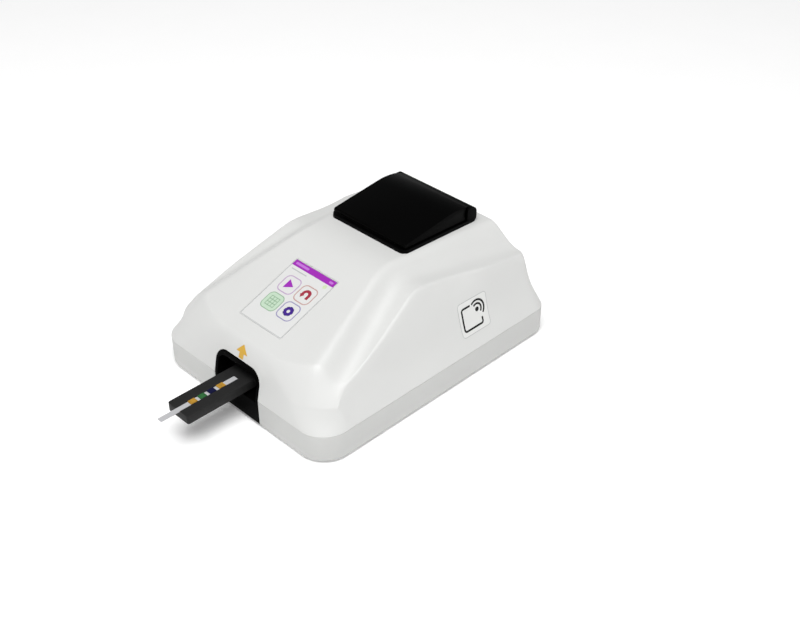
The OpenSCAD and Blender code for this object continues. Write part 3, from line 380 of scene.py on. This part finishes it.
# Moulded or metal surface: colour that drifts a little, uneven gloss and a fine relief
def surface(name, colour, rough=0.45, metal=0.0, drift=0.04, grain=2200.0, relief=0.08, spread=0.06,
            cloud=18.0, coat=0.0, stretch=None, glow=0.0, shine=0.5):
    mat = bpy.data.materials.new(name)
    mat.use_nodes = True
    nodes = mat.node_tree.nodes
    links = mat.node_tree.links
    nodes.clear()
    out = nodes.new("ShaderNodeOutputMaterial")
    shader = nodes.new("ShaderNodeBsdfPrincipled")
    shader.inputs["Metallic"].default_value = metal
    shader.inputs["Coat Weight"].default_value = coat
    shader.inputs["Specular IOR Level"].default_value = shine
    coords = nodes.new("ShaderNodeTexCoord")
    spot = nodes.new("ShaderNodeMapping")
    spot.inputs["Scale"].default_value = stretch or (1, 1, 1)
    links.new(coords.outputs["Object"], spot.inputs["Vector"])
    wide = nodes.new("ShaderNodeTexNoise")
    wide.inputs["Scale"].default_value = cloud
    wide.inputs["Detail"].default_value = 3
    fine = nodes.new("ShaderNodeTexNoise")
    fine.inputs["Scale"].default_value = grain
    fine.inputs["Detail"].default_value = 2
    links.new(coords.outputs["Object"], wide.inputs["Vector"])
    links.new(spot.outputs["Vector"], fine.inputs["Vector"])
    tint = nodes.new("ShaderNodeValToRGB")
    tint.color_ramp.elements[0].position = NOISE_LOW
    tint.color_ramp.elements[1].position = NOISE_HIGH
    tint.color_ramp.elements[0].color = [c * (1 - drift) for c in colour] + [1]
    tint.color_ramp.elements[1].color = [min(c * (1 + drift), 1) for c in colour] + [1]
    links.new(wide.outputs["Fac"], tint.inputs["Fac"])
    links.new(tint.outputs["Color"], shader.inputs["Base Color"])
    gloss = map_range(mat.node_tree, NOISE_LOW, NOISE_HIGH, max(rough - spread, 0.02), min(rough + spread, 1))
    links.new(fine.outputs["Fac"], gloss.inputs["Value"])
    links.new(gloss.outputs["Result"], shader.inputs["Roughness"])
    bump = nodes.new("ShaderNodeBump")
    bump.inputs["Strength"].default_value = relief
    bump.inputs["Distance"].default_value = RELIEF_M
    links.new(fine.outputs["Fac"], bump.inputs["Height"])
    links.new(bump.outputs["Normal"], shader.inputs["Normal"])
    if glow:
        links.new(tint.outputs["Color"], shader.inputs["Emission Color"])
        shader.inputs["Emission Strength"].default_value = glow
    links.new(shader.outputs["BSDF"], out.inputs["Surface"])
    return mat


WHITE = surface("white_housing", (0.64, 0.643, 0.632), 0.42, relief=0.10, drift=0.012)
# White of the lower band, darker than the housing white: painted shade
PAINTED_SHADE_BAND = surface("white_band_painted_shade", (0.545, 0.548, 0.536), 0.45, relief=0.10, drift=0.012)
BLACK = surface("black_bezel", (0.0010, 0.0010, 0.0010), 0.5, drift=0.15, relief=0.10, shine=0.014)
PRINTER = surface("black_printer", (0.0004, 0.0004, 0.0004), 0.45, drift=0.15, relief=0.12, shine=0.04)
INNER_BLACK = surface("black_inside", (0.011, 0.011, 0.012), 0.5, drift=0.12, relief=0.10, shine=0.3)
CHARCOAL = surface("charcoal_tray", (0.017, 0.017, 0.017), 0.5, drift=0.12, relief=0.14, shine=0.12)
GREY = surface("grey_moulding", (0.22, 0.22, 0.23), 0.5, relief=0.12)
RUBBER = surface("black_rubber", (0.02, 0.02, 0.02), 0.8, drift=0.2, relief=0.3, grain=3000)
STEEL = surface("brushed_steel", (0.55, 0.56, 0.58), 0.3, 1.0, relief=0.06, stretch=(0.05, 1, 1))
MOTOR = surface("motor_steel", (0.45, 0.46, 0.48), 0.35, 1.0, relief=0.06, stretch=(0.05, 1, 1))
PORT = surface("socket_metal", (0.60, 0.61, 0.63), 0.30, 1.0, relief=0.01, spread=0.02)
IVORY = surface("ivory_gear", (0.78, 0.74, 0.62), 0.5, relief=0.1)
DARK_STEEL = surface("dark_steel", (0.03, 0.03, 0.03), 0.55, 1.0, relief=0.06)
TILE = surface("white_tile", (0.86, 0.86, 0.86), 0.7, relief=0.1)
STRIP = surface("strip_film", (0.47, 0.47, 0.485), 0.35, drift=0.03, relief=0.05)
LENS = surface("lens", (0.7, 0.78, 0.8), 0.05, relief=0.01)
BOARD = surface("circuit_board", (0.02, 0.14, 0.06), 0.35, drift=0.2, relief=0.15, grain=900, cloud=120)
PAPER = surface("paper", (0.86, 0.86, 0.84), 0.8, relief=0.2, grain=3500)
CARD = surface("card_core", (0.42, 0.31, 0.20), 0.85, drift=0.1, relief=0.3, grain=2500)
GLASS = surface("screen_face", (0.655, 0.658, 0.65), 0.3, drift=0.01, relief=0.01, spread=0.02, glow=0.02)
AMBER = surface("amber_print", (0.62, 0.36, 0.03), 0.45, drift=0.06, relief=0.05)
LABEL = surface("label_film", (0.70, 0.703, 0.69), 0.35, drift=0.01, relief=0.01, spread=0.02)
INK = surface("dark_print", (0.006, 0.006, 0.006), 0.5, drift=0.1, relief=0.04, shine=0.2)


# Felt pad of the test strip, and ink of the screen picture
def felt(name, colour):
    return surface(name, colour, 0.9, drift=0.18, grain=5000, relief=0.5, cloud=400, shine=0.1)


def ink(name, colour):
    return surface(name, colour, 0.35, drift=0.03, relief=0.02, spread=0.03, shine=0.3)


ORANGE = felt("pad_orange", (0.41, 0.22, 0.03))
GREEN = felt("pad_green", (0.026, 0.115, 0.036))
BLUE = felt("pad_blue", (0.006, 0.007, 0.040))
UI_BAR = ink("screen_purple_bar", (0.31, 0.022, 0.40))
UI_BAR_PALE = ink("screen_pale_purple", (0.48, 0.16, 0.60))
UI_PURPLE = ink("screen_purple", (0.31, 0.025, 0.42))
UI_LILAC = ink("screen_lilac_line", (0.47, 0.34, 0.51))
UI_RED = ink("screen_red", (0.33, 0.030, 0.055))
UI_ROSE = ink("screen_rose_line", (0.50, 0.32, 0.30))
UI_GREEN = ink("screen_green", (0.25, 0.40, 0.26))
UI_MINT = ink("screen_mint", (0.50, 0.64, 0.50))
UI_BLUE = ink("screen_blue", (0.055, 0.018, 0.24))
UI_SLATE = ink("screen_slate_line", (0.30, 0.28, 0.45))
UI_GREY = ink("screen_grey_line", (0.44, 0.45, 0.45))
UI_DOT = ink("screen_pale_green", (0.55, 0.66, 0.42))

# Upper shell: the same blend of planes as the solid, on a fine mesh with a rounded lower rim
ARC_N, SIDE_N, END_N = 18, 96, 64
INNER_RINGS, INNER_POWER = 34, 1.7
OUTER_RINGS, OUTER_POWER = 120, 1.6
RIM_D = 0.12
RIM = ((0.0, WALL_IN), (0.02, 0.85), (0.12, 0.42))
CUT_OVER, CUT_UNDER, CUT_PAST = 4, -12, 2
WINDOW_R, BEZEL_STEPS = 1.2, 16
PRINTER_HOLE_LOW, PRINTER_HOLE_HIGH, PRINTER_HOLE_HALF = 0.4, 70.6, 39.0


def upper_shell():
    def ring_at(d, z=None, t=0.0, inset=0.0):
        ring = outline(d, ARC_N, SIDE_N, END_N, inset)
        heights = shell_z(ring, d, t) if z is None else np.full(len(ring), z)
        return np.stack([ring[:, 0], ring[:, 1], heights], 1)

    inner = [ring_at((RING_DEEP - WALL_IN) * (k / INNER_RINGS) ** INNER_POWER, t=WALL, inset=WALL_IN)
             for k in range(INNER_RINGS, 0, -1)]
    low = [ring_at(0, SPLIT_Z + up, inset=inset) for up, inset in RIM]
    outer = [ring_at(RIM_D + (RING_DEEP - RIM_D) * (k / OUTER_RINGS) ** OUTER_POWER)
             for k in range(OUTER_RINGS + 1)]
    rings = inner + low + outer
    n = len(rings[0])
    points = np.concatenate(rings)
    faces = ring_faces(len(rings), n)
    spine_y = outline(RING_DEEP, ARC_N, SIDE_N, END_N)[ARC_N:ARC_N + SIDE_N + 1, 1]
    for first, t, flip in ((0, WALL, True), ((len(rings) - 1) * n, 0.0, False)):
        spine_first = len(points)
        spine = np.stack([0 * spine_y, spine_y, roof_z(0 * spine_y, spine_y, t)], 1)
        points = np.concatenate([points, spine])
        cap = spine_cap(first, spine_first, n)
        faces += [f[::-1] for f in cap] if flip else cap
    obj = mesh_object("upper_shell_skin", points, faces)

    half = BEZEL_W / 2 + SET_GAP
    top = TUB_Z + BEZEL_H + SET_GAP
    loop = [(-half, TUB_Z - CUT_PAST), (half, TUB_Z - CUT_PAST)]
    for cx, start in ((1, 0), (-1, 90)):
        for k in range(BEZEL_STEPS + 1):
            a = math.radians(start + 90 * k / BEZEL_STEPS)
            r = BEZEL_R + SET_GAP
            loop.append((cx * (half - r) + r * math.cos(a), top - r + r * math.sin(a)))
    cut_out(obj, prism("cut", loop[::-1], FRONT_Y - CUT_PAST, FRONT_Y + BEZEL_D + SET_GAP,
                       lambda u, v, h: (u, h, v)))
    window = round_rect(SCREEN_W + 2 * SET_GAP, SCREEN_L + 2 * SET_GAP, WINDOW_R)
    cut_out(obj, prism("cut", window, CUT_UNDER, CUT_OVER, on_slope))
    hole = [(-PRINTER_HOLE_HALF, PRINTER_HOLE_LOW), (PRINTER_HOLE_HALF, PRINTER_HOLE_LOW),
            (PRINTER_HOLE_HALF, PRINTER_HOLE_HIGH), (-PRINTER_HOLE_HALF, PRINTER_HOLE_HIGH)]
    cut_out(obj, prism("cut", hole, CUT_UNDER, CUT_OVER, on_printer))
    shade(obj, SHELL_SMOOTH_A)
    return finish(obj, "housing", WHITE, "upper_shell")


# Faces that close a ring along its middle line
def spine_cap(ring, line, n):
    left = 3 * ARC_N + 2 * SIDE_N + END_N
    faces = []
    for j in range(SIDE_N):
        right = ring + ARC_N + j
        faces.append((right, right + 1, line + j + 1, line + j))
        faces.append((ring + left - j - 1, ring + left - j, line + j, line + j + 1))
    faces += [(ring + i % n, ring + (i + 1) % n, line) for i in range(left, n + ARC_N)]
    faces += [(ring + i, ring + i + 1, line + SIDE_N) for i in range(ARC_N + SIDE_N, left - SIDE_N)]
    return faces


# Places on the screen slope and on the printer's deck: along X, along the surface, above it
def on_slope(u, v, h):
    c, s = math.cos(SLOPE_A), math.sin(SLOPE_A)
    up = SCREEN_UP + v
    return (u, BEND_Y + up * c - h * s, SPLIT_Z + FRONT_H + up * s + h * c)


def on_printer(u, v, h):
    c, s = math.cos(PLATEAU_TILT), math.sin(PLATEAU_TILT)
    return (u, PRINTER_Y + v * c + h * s, PLATEAU_Z - v * s + h * c)


upper_shell()

# Solids that keep their form, with rounded edges: node, body, width of the rounding, material
SOFT = [
    ("base_tub", "housing", 0.25, PAINTED_SHADE_BAND),
    ("front_bezel", "housing", 0.6, BLACK),
    ("feet", "housing", 0.6, RUBBER),
    ("strip_tray", "tray", 0.4, CHARCOAL),
    ("printer_frame", "housing", 0.7, PRINTER),
    ("printer_cover", "cover", 0.7, PRINTER),
    ("paper_bucket", "housing", 0.3, INNER_BLACK),
    ("power_inlet", "housing", 0.25, INNER_BLACK),
    ("usb_port", "housing", 0.12, PORT),
    ("device_port", "housing", 0.15, PORT),
    ("serial_port", "housing", 0.15, PORT),
    ("switch_housing", "housing", 0.3, INNER_BLACK),
    ("switch_rocker", "rocker", 0.4, INNER_BLACK)]
soft = {}
for node, body, width, material in SOFT:
    soft[node] = soften(node, body, width, material)

# Hinge ears rounded about the pin at their upper rear corner
EAR_R, EAR_OUT, EAR_HALF = 5.35, 12.0, 45.0
EAR_FROM, EAR_TO = 90 - math.degrees(PLATEAU_TILT), -12
pin = next(j["pos_m"] for j in frame["record"]["behaviour"]["joints"] if j["name"] == "cover_hinge")
pin_y, pin_z = pin[1] / MM, pin[2] / MM
ear_cut = ring_path(EAR_R, EAR_FROM, EAR_TO, 16, pin_y, pin_z)
ear_cut += ring_path(EAR_OUT, EAR_TO, EAR_FROM, 8, pin_y, pin_z)
cut_out(soft["printer_frame"], prism("cut", ear_cut, -EAR_HALF, EAR_HALF, lambda u, v, h: (h, u, v)))
shade(soft["printer_frame"], SMOOTH_A)

# Solids that stay as they are, with better surfaces
PLAIN = {
    "case_screws": STEEL, "guide_screws": STEEL, "board_screws": STEEL,
    "tray_guide": GREY, "tray_rack": IVORY, "reference_tile": TILE, "tray_pinion": IVORY,
    "pinion_shaft": STEEL, "tray_motor": MOTOR,
    "strip_backing": STRIP, "pads_orange": ORANGE, "pad_green": GREEN, "pad_blue": BLUE,
    "optics_housing": INNER_BLACK, "optics_lens": LENS, "led_board": BOARD,
    "touch_glass": GLASS, "lcd_module": STEEL, "display_board": BOARD,
    "main_board": BOARD, "reader_board": BOARD,
    "print_head": MOTOR, "head_spring": STEEL, "tear_bar": DARK_STEEL,
    "printer_motor": MOTOR, "motor_shaft": STEEL, "drive_gear": IVORY, "hinge_pin": STEEL,
    "platen_roller": RUBBER, "platen_shaft": STEEL, "platen_gear": IVORY, "platen_bushings": IVORY,
    "paper_roll": PAPER, "roll_core": CARD}
for node, material in PLAIN.items():
    solid = frame["nodes"][node]
    solid.data.materials.clear()
    solid.data.materials.append(material)

# Picture on the screen: bar, status row, border and four plain keys
PRINT_LOW, PRINT_HIGH, PRINT_LIFT = -0.05, 0.06, 0.03
PICTURE_W, PICTURE_L, PICTURE_R, PICTURE_LINE = 48.0, 63.6, 0.8, 0.5
BAR_L, BAR_MARK_L, BAR_MARK_R = 5.8, 2.2, 0.9
BAR_V = PICTURE_L / 2 - BAR_L / 2
LEFT_MARK_W, LEFT_MARK_U = 15, -14.0
RIGHT_MARK_W, RIGHT_MARK_U = 4.2, 19.4
STATUS_V, STATUS_U, STATUS_W, STATUS_L, STATUS_R = 23.0, -12.3, 17.4, 0.9, 0.3
STATUS_DOT_U, STATUS_DOT_R = 17.9, 1.9
KEY, KEY_R, KEY_LINE = 16.2, 4.4, 0.95
PLAY, BACK, GRID, COG = (-9.4, 9.3), (10.1, 9.0), (-9.2, -10.0), (9.8, -10.0)
PLAY_BACK, PLAY_TIP, PLAY_HALF = 3.4, 4.4, 4.7
TURN_R, TURN_W, TURN_UP, TURN_LEG = 3.1, 2.7, 0.6, 3.4
TIP_HALF, TIP_TOP, TIP_END = 2.2, 0.6, 3.8
GRID_AT, GRID_HALF, GRID_LINE, GRID_EDGE = (-4.5, -1.5, 1.5, 4.5), 4.8, 0.6, 0.7
COG_R, COG_W, COG_TEETH, TOOTH_W = 2.9, 2.7, 8, 2.3
TOOTH_FROM, TOOTH_TO = 3.6, 4.6


def shape(loop, lift=0.0):
    return slab(loop, PRINT_LOW, PRINT_HIGH + lift, on_slope)


def bar(w, h, u, v, r=0.25, lift=0.0):
    return shape(round_rect(w, h, r, 4, u, v), lift)


def line(path, width, closed=False, lift=0.0):
    return band(path, width, PRINT_LOW, PRINT_HIGH + lift, on_slope, closed)


def key_line(u, v):
    return line(round_rect(KEY, KEY, KEY_R, 6, u, v), KEY_LINE, True)


printed("screen_border", [line(round_rect(PICTURE_W, PICTURE_L, PICTURE_R, 4), PICTURE_LINE, True),
                          bar(STATUS_W, STATUS_L, STATUS_U, STATUS_V, STATUS_R)], UI_GREY)
printed("screen_bar", [bar(PICTURE_W, BAR_L, 0, BAR_V)], UI_BAR)
bar_marks = [bar(LEFT_MARK_W, BAR_MARK_L, LEFT_MARK_U, BAR_V, BAR_MARK_R, PRINT_LIFT),
             bar(RIGHT_MARK_W, BAR_MARK_L, RIGHT_MARK_U, BAR_V, BAR_MARK_R, PRINT_LIFT)]
printed("screen_bar_marks", bar_marks, UI_BAR_PALE)
printed("screen_dot", [shape(disc(STATUS_DOT_R, STATUS_DOT_U, STATUS_V))], UI_DOT)

printed("screen_play_line", [key_line(*PLAY)], UI_LILAC)
play = [(PLAY[0] - PLAY_BACK, PLAY[1] - PLAY_HALF), (PLAY[0] + PLAY_TIP, PLAY[1]),
        (PLAY[0] - PLAY_BACK, PLAY[1] + PLAY_HALF)]
printed("screen_play", [shape(play)], UI_PURPLE)

printed("screen_back_line", [key_line(*BACK)], UI_ROSE)
tip_u, tip_v = BACK[0] - TURN_R, BACK[1] - TIP_TOP
back_turn = [(BACK[0] + TURN_R, BACK[1] - TURN_LEG)]
back_turn += ring_path(TURN_R, 0, 180, 20, BACK[0], BACK[1] + TURN_UP)
back_turn += [(tip_u, tip_v)]
back_tip = [(tip_u - TIP_HALF, tip_v), (tip_u, BACK[1] - TIP_END), (tip_u + TIP_HALF, tip_v)]
printed("screen_back", [line(back_turn, TURN_W), shape(back_tip)], UI_RED)

printed("screen_grid_face", [bar(KEY, KEY, *GRID, KEY_R)], UI_MINT)
grid_u, grid_v = GRID
grid_lines = [line([(grid_u - GRID_HALF, grid_v + k), (grid_u + GRID_HALF, grid_v + k)], GRID_LINE,
                   lift=PRINT_LIFT) for k in GRID_AT]
grid_lines += [line([(grid_u + k, grid_v - GRID_HALF), (grid_u + k, grid_v + GRID_HALF)], GRID_LINE,
                    lift=PRINT_LIFT) for k in GRID_AT]
grid_lines += [line(round_rect(KEY, KEY, KEY_R, 6, *GRID), GRID_EDGE, True, PRINT_LIFT)]
printed("screen_grid", grid_lines, UI_GREEN)

printed("screen_cog_line", [key_line(*COG)], UI_SLATE)
cog = [line(disc(COG_R, *COG), COG_W, True)]
for k in range(COG_TEETH):
    a = 2 * math.pi * k / COG_TEETH
    cog.append(line([(COG[0] + r * math.cos(a), COG[1] + r * math.sin(a)) for r in (TOOTH_FROM, TOOTH_TO)],
                    TOOTH_W))
printed("screen_cog", cog, UI_BLUE)

# Plastic insides and jack nuts of the rear sockets, with black discs on the nuts as painted shade of their
# bores
SERIAL_W, SERIAL_L, SERIAL_R, SERIAL_LOW, SERIAL_HIGH = 16.9, 7.9, 0.4, -5.9, -4.0
USB_W, USB_L, USB_R, USB_UP = 11.3, 1.9, 0.3, 0.9
DEVICE_W, DEVICE_L, DEVICE_R = 5.3, 3.1, 0.5
TONGUE_LOW, TONGUE_HIGH = -11.9, -0.9
JACK_X, JACK_R, JACK_LOW, JACK_HIGH = 12.2, 2.7, -0.3, 1.0
BORE_SHADE_R, BORE_SHADE_LOW, BORE_SHADE_HIGH = 1.3, 0.9, 1.02


# Place at the rear: along X, up, and out from the rear face
def on_rear(u, v, h):
    return (u, REAR_Y + h, v)


def middle_of(node):
    low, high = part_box(node)
    return (low[0] + high[0]) / 2 / MM, (low[2] + high[2]) / 2 / MM


serial, usb, device = middle_of("serial_port"), middle_of("usb_port"), middle_of("device_port")
serial_loop = round_rect(SERIAL_W, SERIAL_L, SERIAL_R, 4, *serial)
usb_loop = round_rect(USB_W, USB_L, USB_R, 4, usb[0], usb[1] + USB_UP)
device_loop = round_rect(DEVICE_W, DEVICE_L, DEVICE_R, 4, *device)
insides = [slab(serial_loop, SERIAL_LOW, SERIAL_HIGH, on_rear),
           slab(usb_loop, TONGUE_LOW, TONGUE_HIGH, on_rear),
           slab(device_loop, TONGUE_LOW, TONGUE_HIGH, on_rear)]
printed("socket_insides", insides, INNER_BLACK)
jacks = [(serial[0] + side * JACK_X, serial[1]) for side in (-1, 1)]
nuts = [slab(polygon(6, JACK_R, *jack), JACK_LOW, JACK_HIGH, on_rear) for jack in jacks]
printed("jack_nuts", nuts, PORT)
# Black discs on the nut faces: painted shade where the threaded bores would be
bore_shades = [slab(disc(BORE_SHADE_R, *jack), BORE_SHADE_LOW, BORE_SHADE_HIGH, on_rear) for jack in jacks]
printed("jack_bore_shade", bore_shades, INNER_BLACK)

# Insertion arrow over the bezel, on the curve of the front
FILM_LOW, FILM_HIGH = -0.1, 0.12
ARROW_X, ARROW_Z, ARROW_W, ARROW_L = 1.5, 55.6, 12.6, 11.6
STEM_SHARE, STEM_W, TIP_W = 0.4, 0.4 * ARROW_W, 0.4
STEM_N, HEAD_N = 8, 10
FRONT_REACH = 60
front_y = np.linspace(FRONT_Y, FRONT_Y + FRONT_REACH, 1200)
front_z = smin(SPLIT_Z + (front_y - FRONT_Y) * FRONT_M, roof_z(0 * front_y, front_y), FRONT_K)
front_s = np.concatenate([[0], np.cumsum(np.hypot(np.diff(front_y), np.diff(front_z)))])
ARROW_S = np.interp(ARROW_Z, front_z, front_s)


# Place on the front curve: along X, up the curve and above it, with the slope over one millimetre
def on_front(u, v, h):
    s = ARROW_S + v
    y, z = np.interp(s, front_s, front_y), np.interp(s, front_s, front_z)
    dy = np.interp(s + 0.5, front_s, front_y) - np.interp(s - 0.5, front_s, front_y)
    dz = np.interp(s + 0.5, front_s, front_z) - np.interp(s - 0.5, front_s, front_z)
    return (ARROW_X + u, y - h * dz, z + h * dy)


stem = [(0, ARROW_L * (STEM_SHARE * k / STEM_N - 0.5)) for k in range(STEM_N + 1)]
head = [(0, ARROW_L * (STEM_SHARE + (1 - STEM_SHARE) * k / HEAD_N - 0.5)) for k in range(HEAD_N + 1)]
head_w = [ARROW_W * (1 - k / HEAD_N) + TIP_W for k in range(HEAD_N + 1)]
arrow = [band(stem, STEM_W, FILM_LOW, FILM_HIGH, on_front), band(head, head_w, FILM_LOW, FILM_HIGH, on_front)]
printed("insert_arrow", arrow, AMBER)

# Sticker on the right wall with a plain outline, dot and arcs, and a grey line along the film's rim as
# painted shade of its edge
STICKER_Y, STICKER_Z, STICKER_W, STICKER_L, STICKER_R = 78.5, 51.5, 33.0, 30.0, 3.0
FILM_ROWS, FILM_COLUMNS = 40, 16
EDGE_SHADE_LINE, EDGE_SHADE_HIGH = 0.5, 0.15
MARK_LOW, MARK_HIGH, MARK_LINE, MARK_STEP = 0.05, 0.17, 1.7, 2.5
MARK_LEFT, MARK_RIGHT, MARK_R = -12.6, 8.6, 2.0
MARK_TOP, MARK_BOTTOM = 9.2, -10.4
MARK_START, MARK_BEND, MARK_END = -2.8, -8, -5.2
DOT_U, DOT_V, DOT_R = 4.4, 3.2, 2.0
ARCS, ARC_FROM, ARC_TO = (4.8, 8.0), 132, -42
WALL_REACH = 24
wall_d = np.linspace(0, WALL_REACH, 960)


# Place on the right wall: along Y, up the wall and above it, with the slope over one millimetre
def on_side(u, v, h):
    y = STICKER_Y + u
    wall_z = smin(SPLIT_Z + side_h(wall_d), roof_z(BODY_W / 2 - wall_d, y), SIDE_K)
    wall_s = np.concatenate([[0], np.cumsum(np.hypot(np.diff(wall_d), np.diff(wall_z)))])
    s = np.interp(STICKER_Z, wall_z, wall_s) + v
    d, z = np.interp(s, wall_s, wall_d), np.interp(s, wall_s, wall_z)
    dd = np.interp(s + 0.5, wall_s, wall_d) - np.interp(s - 0.5, wall_s, wall_d)
    dz = np.interp(s + 0.5, wall_s, wall_z) - np.interp(s - 0.5, wall_s, wall_z)
    return (BODY_W / 2 - d + h * dz, y, z + h * dd)


# Points and faces of a thin film: rows of equal length along its width
def film(rows, low, high, place):
    n, m = len(rows), len(rows[0])
    flat = [p for row in rows for p in row]
    points = [place(u, v, low) for u, v in flat] + [place(u, v, high) for u, v in flat]
    faces = []
    for i in range(n - 1):
        for j in range(m - 1):
            a = i * m + j
            quad = (a, a + 1, a + m + 1, a + m)
            faces += [quad[::-1], tuple(k + n * m for k in quad)]
    rim = list(range(m)) + [i * m + m - 1 for i in range(1, n)]
    rim += [(n - 1) * m + j for j in range(m - 2, -1, -1)] + [i * m for i in range(n - 2, 0, -1)]
    for a, b in zip(rim, rim[1:] + rim[:1]):
        faces.append((a, b, b + n * m, a + n * m))
    return points, faces


film_v = [STICKER_L * (k / FILM_ROWS - 0.5) for k in range(FILM_ROWS + 1)]
over = [max(abs(v) - (STICKER_L / 2 - STICKER_R), 0) for v in film_v]
film_w = [STICKER_W - 2 * (STICKER_R - math.sqrt(STICKER_R ** 2 - o * o)) for o in over]
film_rows = [[(w * (k / FILM_COLUMNS - 0.5), v) for k in range(FILM_COLUMNS + 1)]
             for v, w in zip(film_v, film_w)]
printed("sticker_film", [film(film_rows, FILM_LOW, FILM_HIGH, on_side)], LABEL)
# Grey line along the film's rim: painted shade of the sticker's edge
edge_shade_path = along(round_rect(STICKER_W - EDGE_SHADE_LINE, STICKER_L - EDGE_SHADE_LINE, STICKER_R), MARK_STEP)
printed("sticker_edge_shade", [band(edge_shade_path, EDGE_SHADE_LINE, MARK_LOW, EDGE_SHADE_HIGH, on_side, True)], UI_GREY)
mark = [(MARK_START, MARK_TOP), (MARK_BEND, MARK_TOP)]
mark += ring_path(MARK_R, 90, 180, 6, MARK_LEFT + MARK_R, MARK_TOP - MARK_R)
mark += ring_path(MARK_R, 180, 270, 6, MARK_LEFT + MARK_R, MARK_BOTTOM + MARK_R)
mark += ring_path(MARK_R, -90, 0, 6, MARK_RIGHT - MARK_R, MARK_BOTTOM + MARK_R)
mark += [(MARK_RIGHT, MARK_END)]
marks = [band(along(mark, MARK_STEP, False), MARK_LINE, MARK_LOW, MARK_HIGH, on_side),
         slab(disc(DOT_R, DOT_U, DOT_V), MARK_LOW, MARK_HIGH, on_side)]
for arc_r in ARCS:
    arc_path = ring_path(arc_r, ARC_FROM, ARC_TO, 30, DOT_U, DOT_V)
    marks.append(band(arc_path, MARK_LINE, MARK_LOW, MARK_HIGH, on_side))
printed("sticker_mark", marks, INK)

# Floor that stays pale far from the light: its glow grows with the distance in metres
FLOOR_HALF = 30000
GLOW_NEAR, GLOW_FAR = 1.0, 4.0
NEAR_GLOW, FAR_GLOW = 0.16, 0.74
floor_mat = surface("pale_floor", (0.93, 0.93, 0.93), 0.7, drift=0.004, relief=0.02, grain=300,
                    glow=NEAR_GLOW)
tree = floor_mat.node_tree
reach = tree.nodes.new("ShaderNodeVectorMath")
reach.operation = "LENGTH"
fade = map_range(tree, GLOW_NEAR, GLOW_FAR, NEAR_GLOW, FAR_GLOW)
tree.links.new(tree.nodes["Texture Coordinate"].outputs["Object"], reach.inputs[0])
tree.links.new(reach.outputs["Value"], fade.inputs["Value"])
tree.links.new(fade.outputs["Result"], tree.nodes["Principled BSDF"].inputs["Emission Strength"])
corners = [(FLOOR_HALF * x, FLOOR_HALF * y, 0) for x, y in ((-1, -1), (1, -1), (1, 1), (-1, 1))]
floor = mesh_object("floor", corners, [(0, 1, 2, 3)])
floor.data.materials.append(floor_mat)

# Dim studio with a pale horizon: strength by the upward share of the direction
HORIZON_LOW, HORIZON_HIGH = 0.03, 0.12
HORIZON_LIGHT, STUDIO_LIGHT = 0.95, 0.22
world = bpy.data.worlds.new("studio")
bpy.context.scene.world = world
world.use_nodes = True
sky = world.node_tree
direction = sky.nodes.new("ShaderNodeTexCoord")
split = sky.nodes.new("ShaderNodeSeparateXYZ")
rise = map_range(sky, HORIZON_LOW, HORIZON_HIGH, HORIZON_LIGHT, STUDIO_LIGHT)
sky.links.new(direction.outputs["Generated"], split.inputs["Vector"])
sky.links.new(split.outputs["Z"], rise.inputs["Value"])
sky.links.new(rise.outputs["Result"], sky.nodes["Background"].inputs["Strength"])
sky.nodes["Background"].inputs["Color"].default_value = (1, 1, 1, 1)

# One large softbox over the right front corner, in metres and watts
LIGHT_PLACE, LIGHT_SIZE, LIGHT_POWER = (0.76, -0.80, 2.80), (2.4, 2.0), 103.0
LIGHT_AIM = (0, CENTRE_Y * MM, 0.05)


def softbox(name, place, aim, size, power):
    light = bpy.data.lights.new(name, "AREA")
    light.shape = "RECTANGLE"
    light.size, light.size_y = size
    light.energy = power
    obj = bpy.data.objects.new(name, light)
    obj.location = place
    obj.rotation_euler = (Vector(aim) - Vector(place)).to_track_quat("-Z", "Y").to_euler()
    bpy.context.scene.collection.objects.link(obj)


softbox("key", LIGHT_PLACE, LIGHT_AIM, LIGHT_SIZE, LIGHT_POWER)

# Camera at the photograph's angle: place from the middle of the housing, degrees down and turned
CAMERA_X, CAMERA_Y, CAMERA_Z = 604.3, -551.8, 610.7
CAMERA_DOWN, CAMERA_TURN = 35.71, 45.11
SENSOR_W, LENS_L = 36, 54.05
scene = bpy.context.scene
camera = bpy.data.objects.new("camera", bpy.data.cameras.new("camera"))
scene.collection.objects.link(camera)
camera.data.sensor_width = SENSOR_W
camera.data.lens = LENS_L
camera.location = (CAMERA_X * MM, (CAMERA_Y + CENTRE_Y) * MM, CAMERA_Z * MM)
camera.rotation_euler = (math.radians(90 - CAMERA_DOWN), 0, math.radians(CAMERA_TURN))
scene.camera = camera
scene.view_settings.view_transform = "Standard"
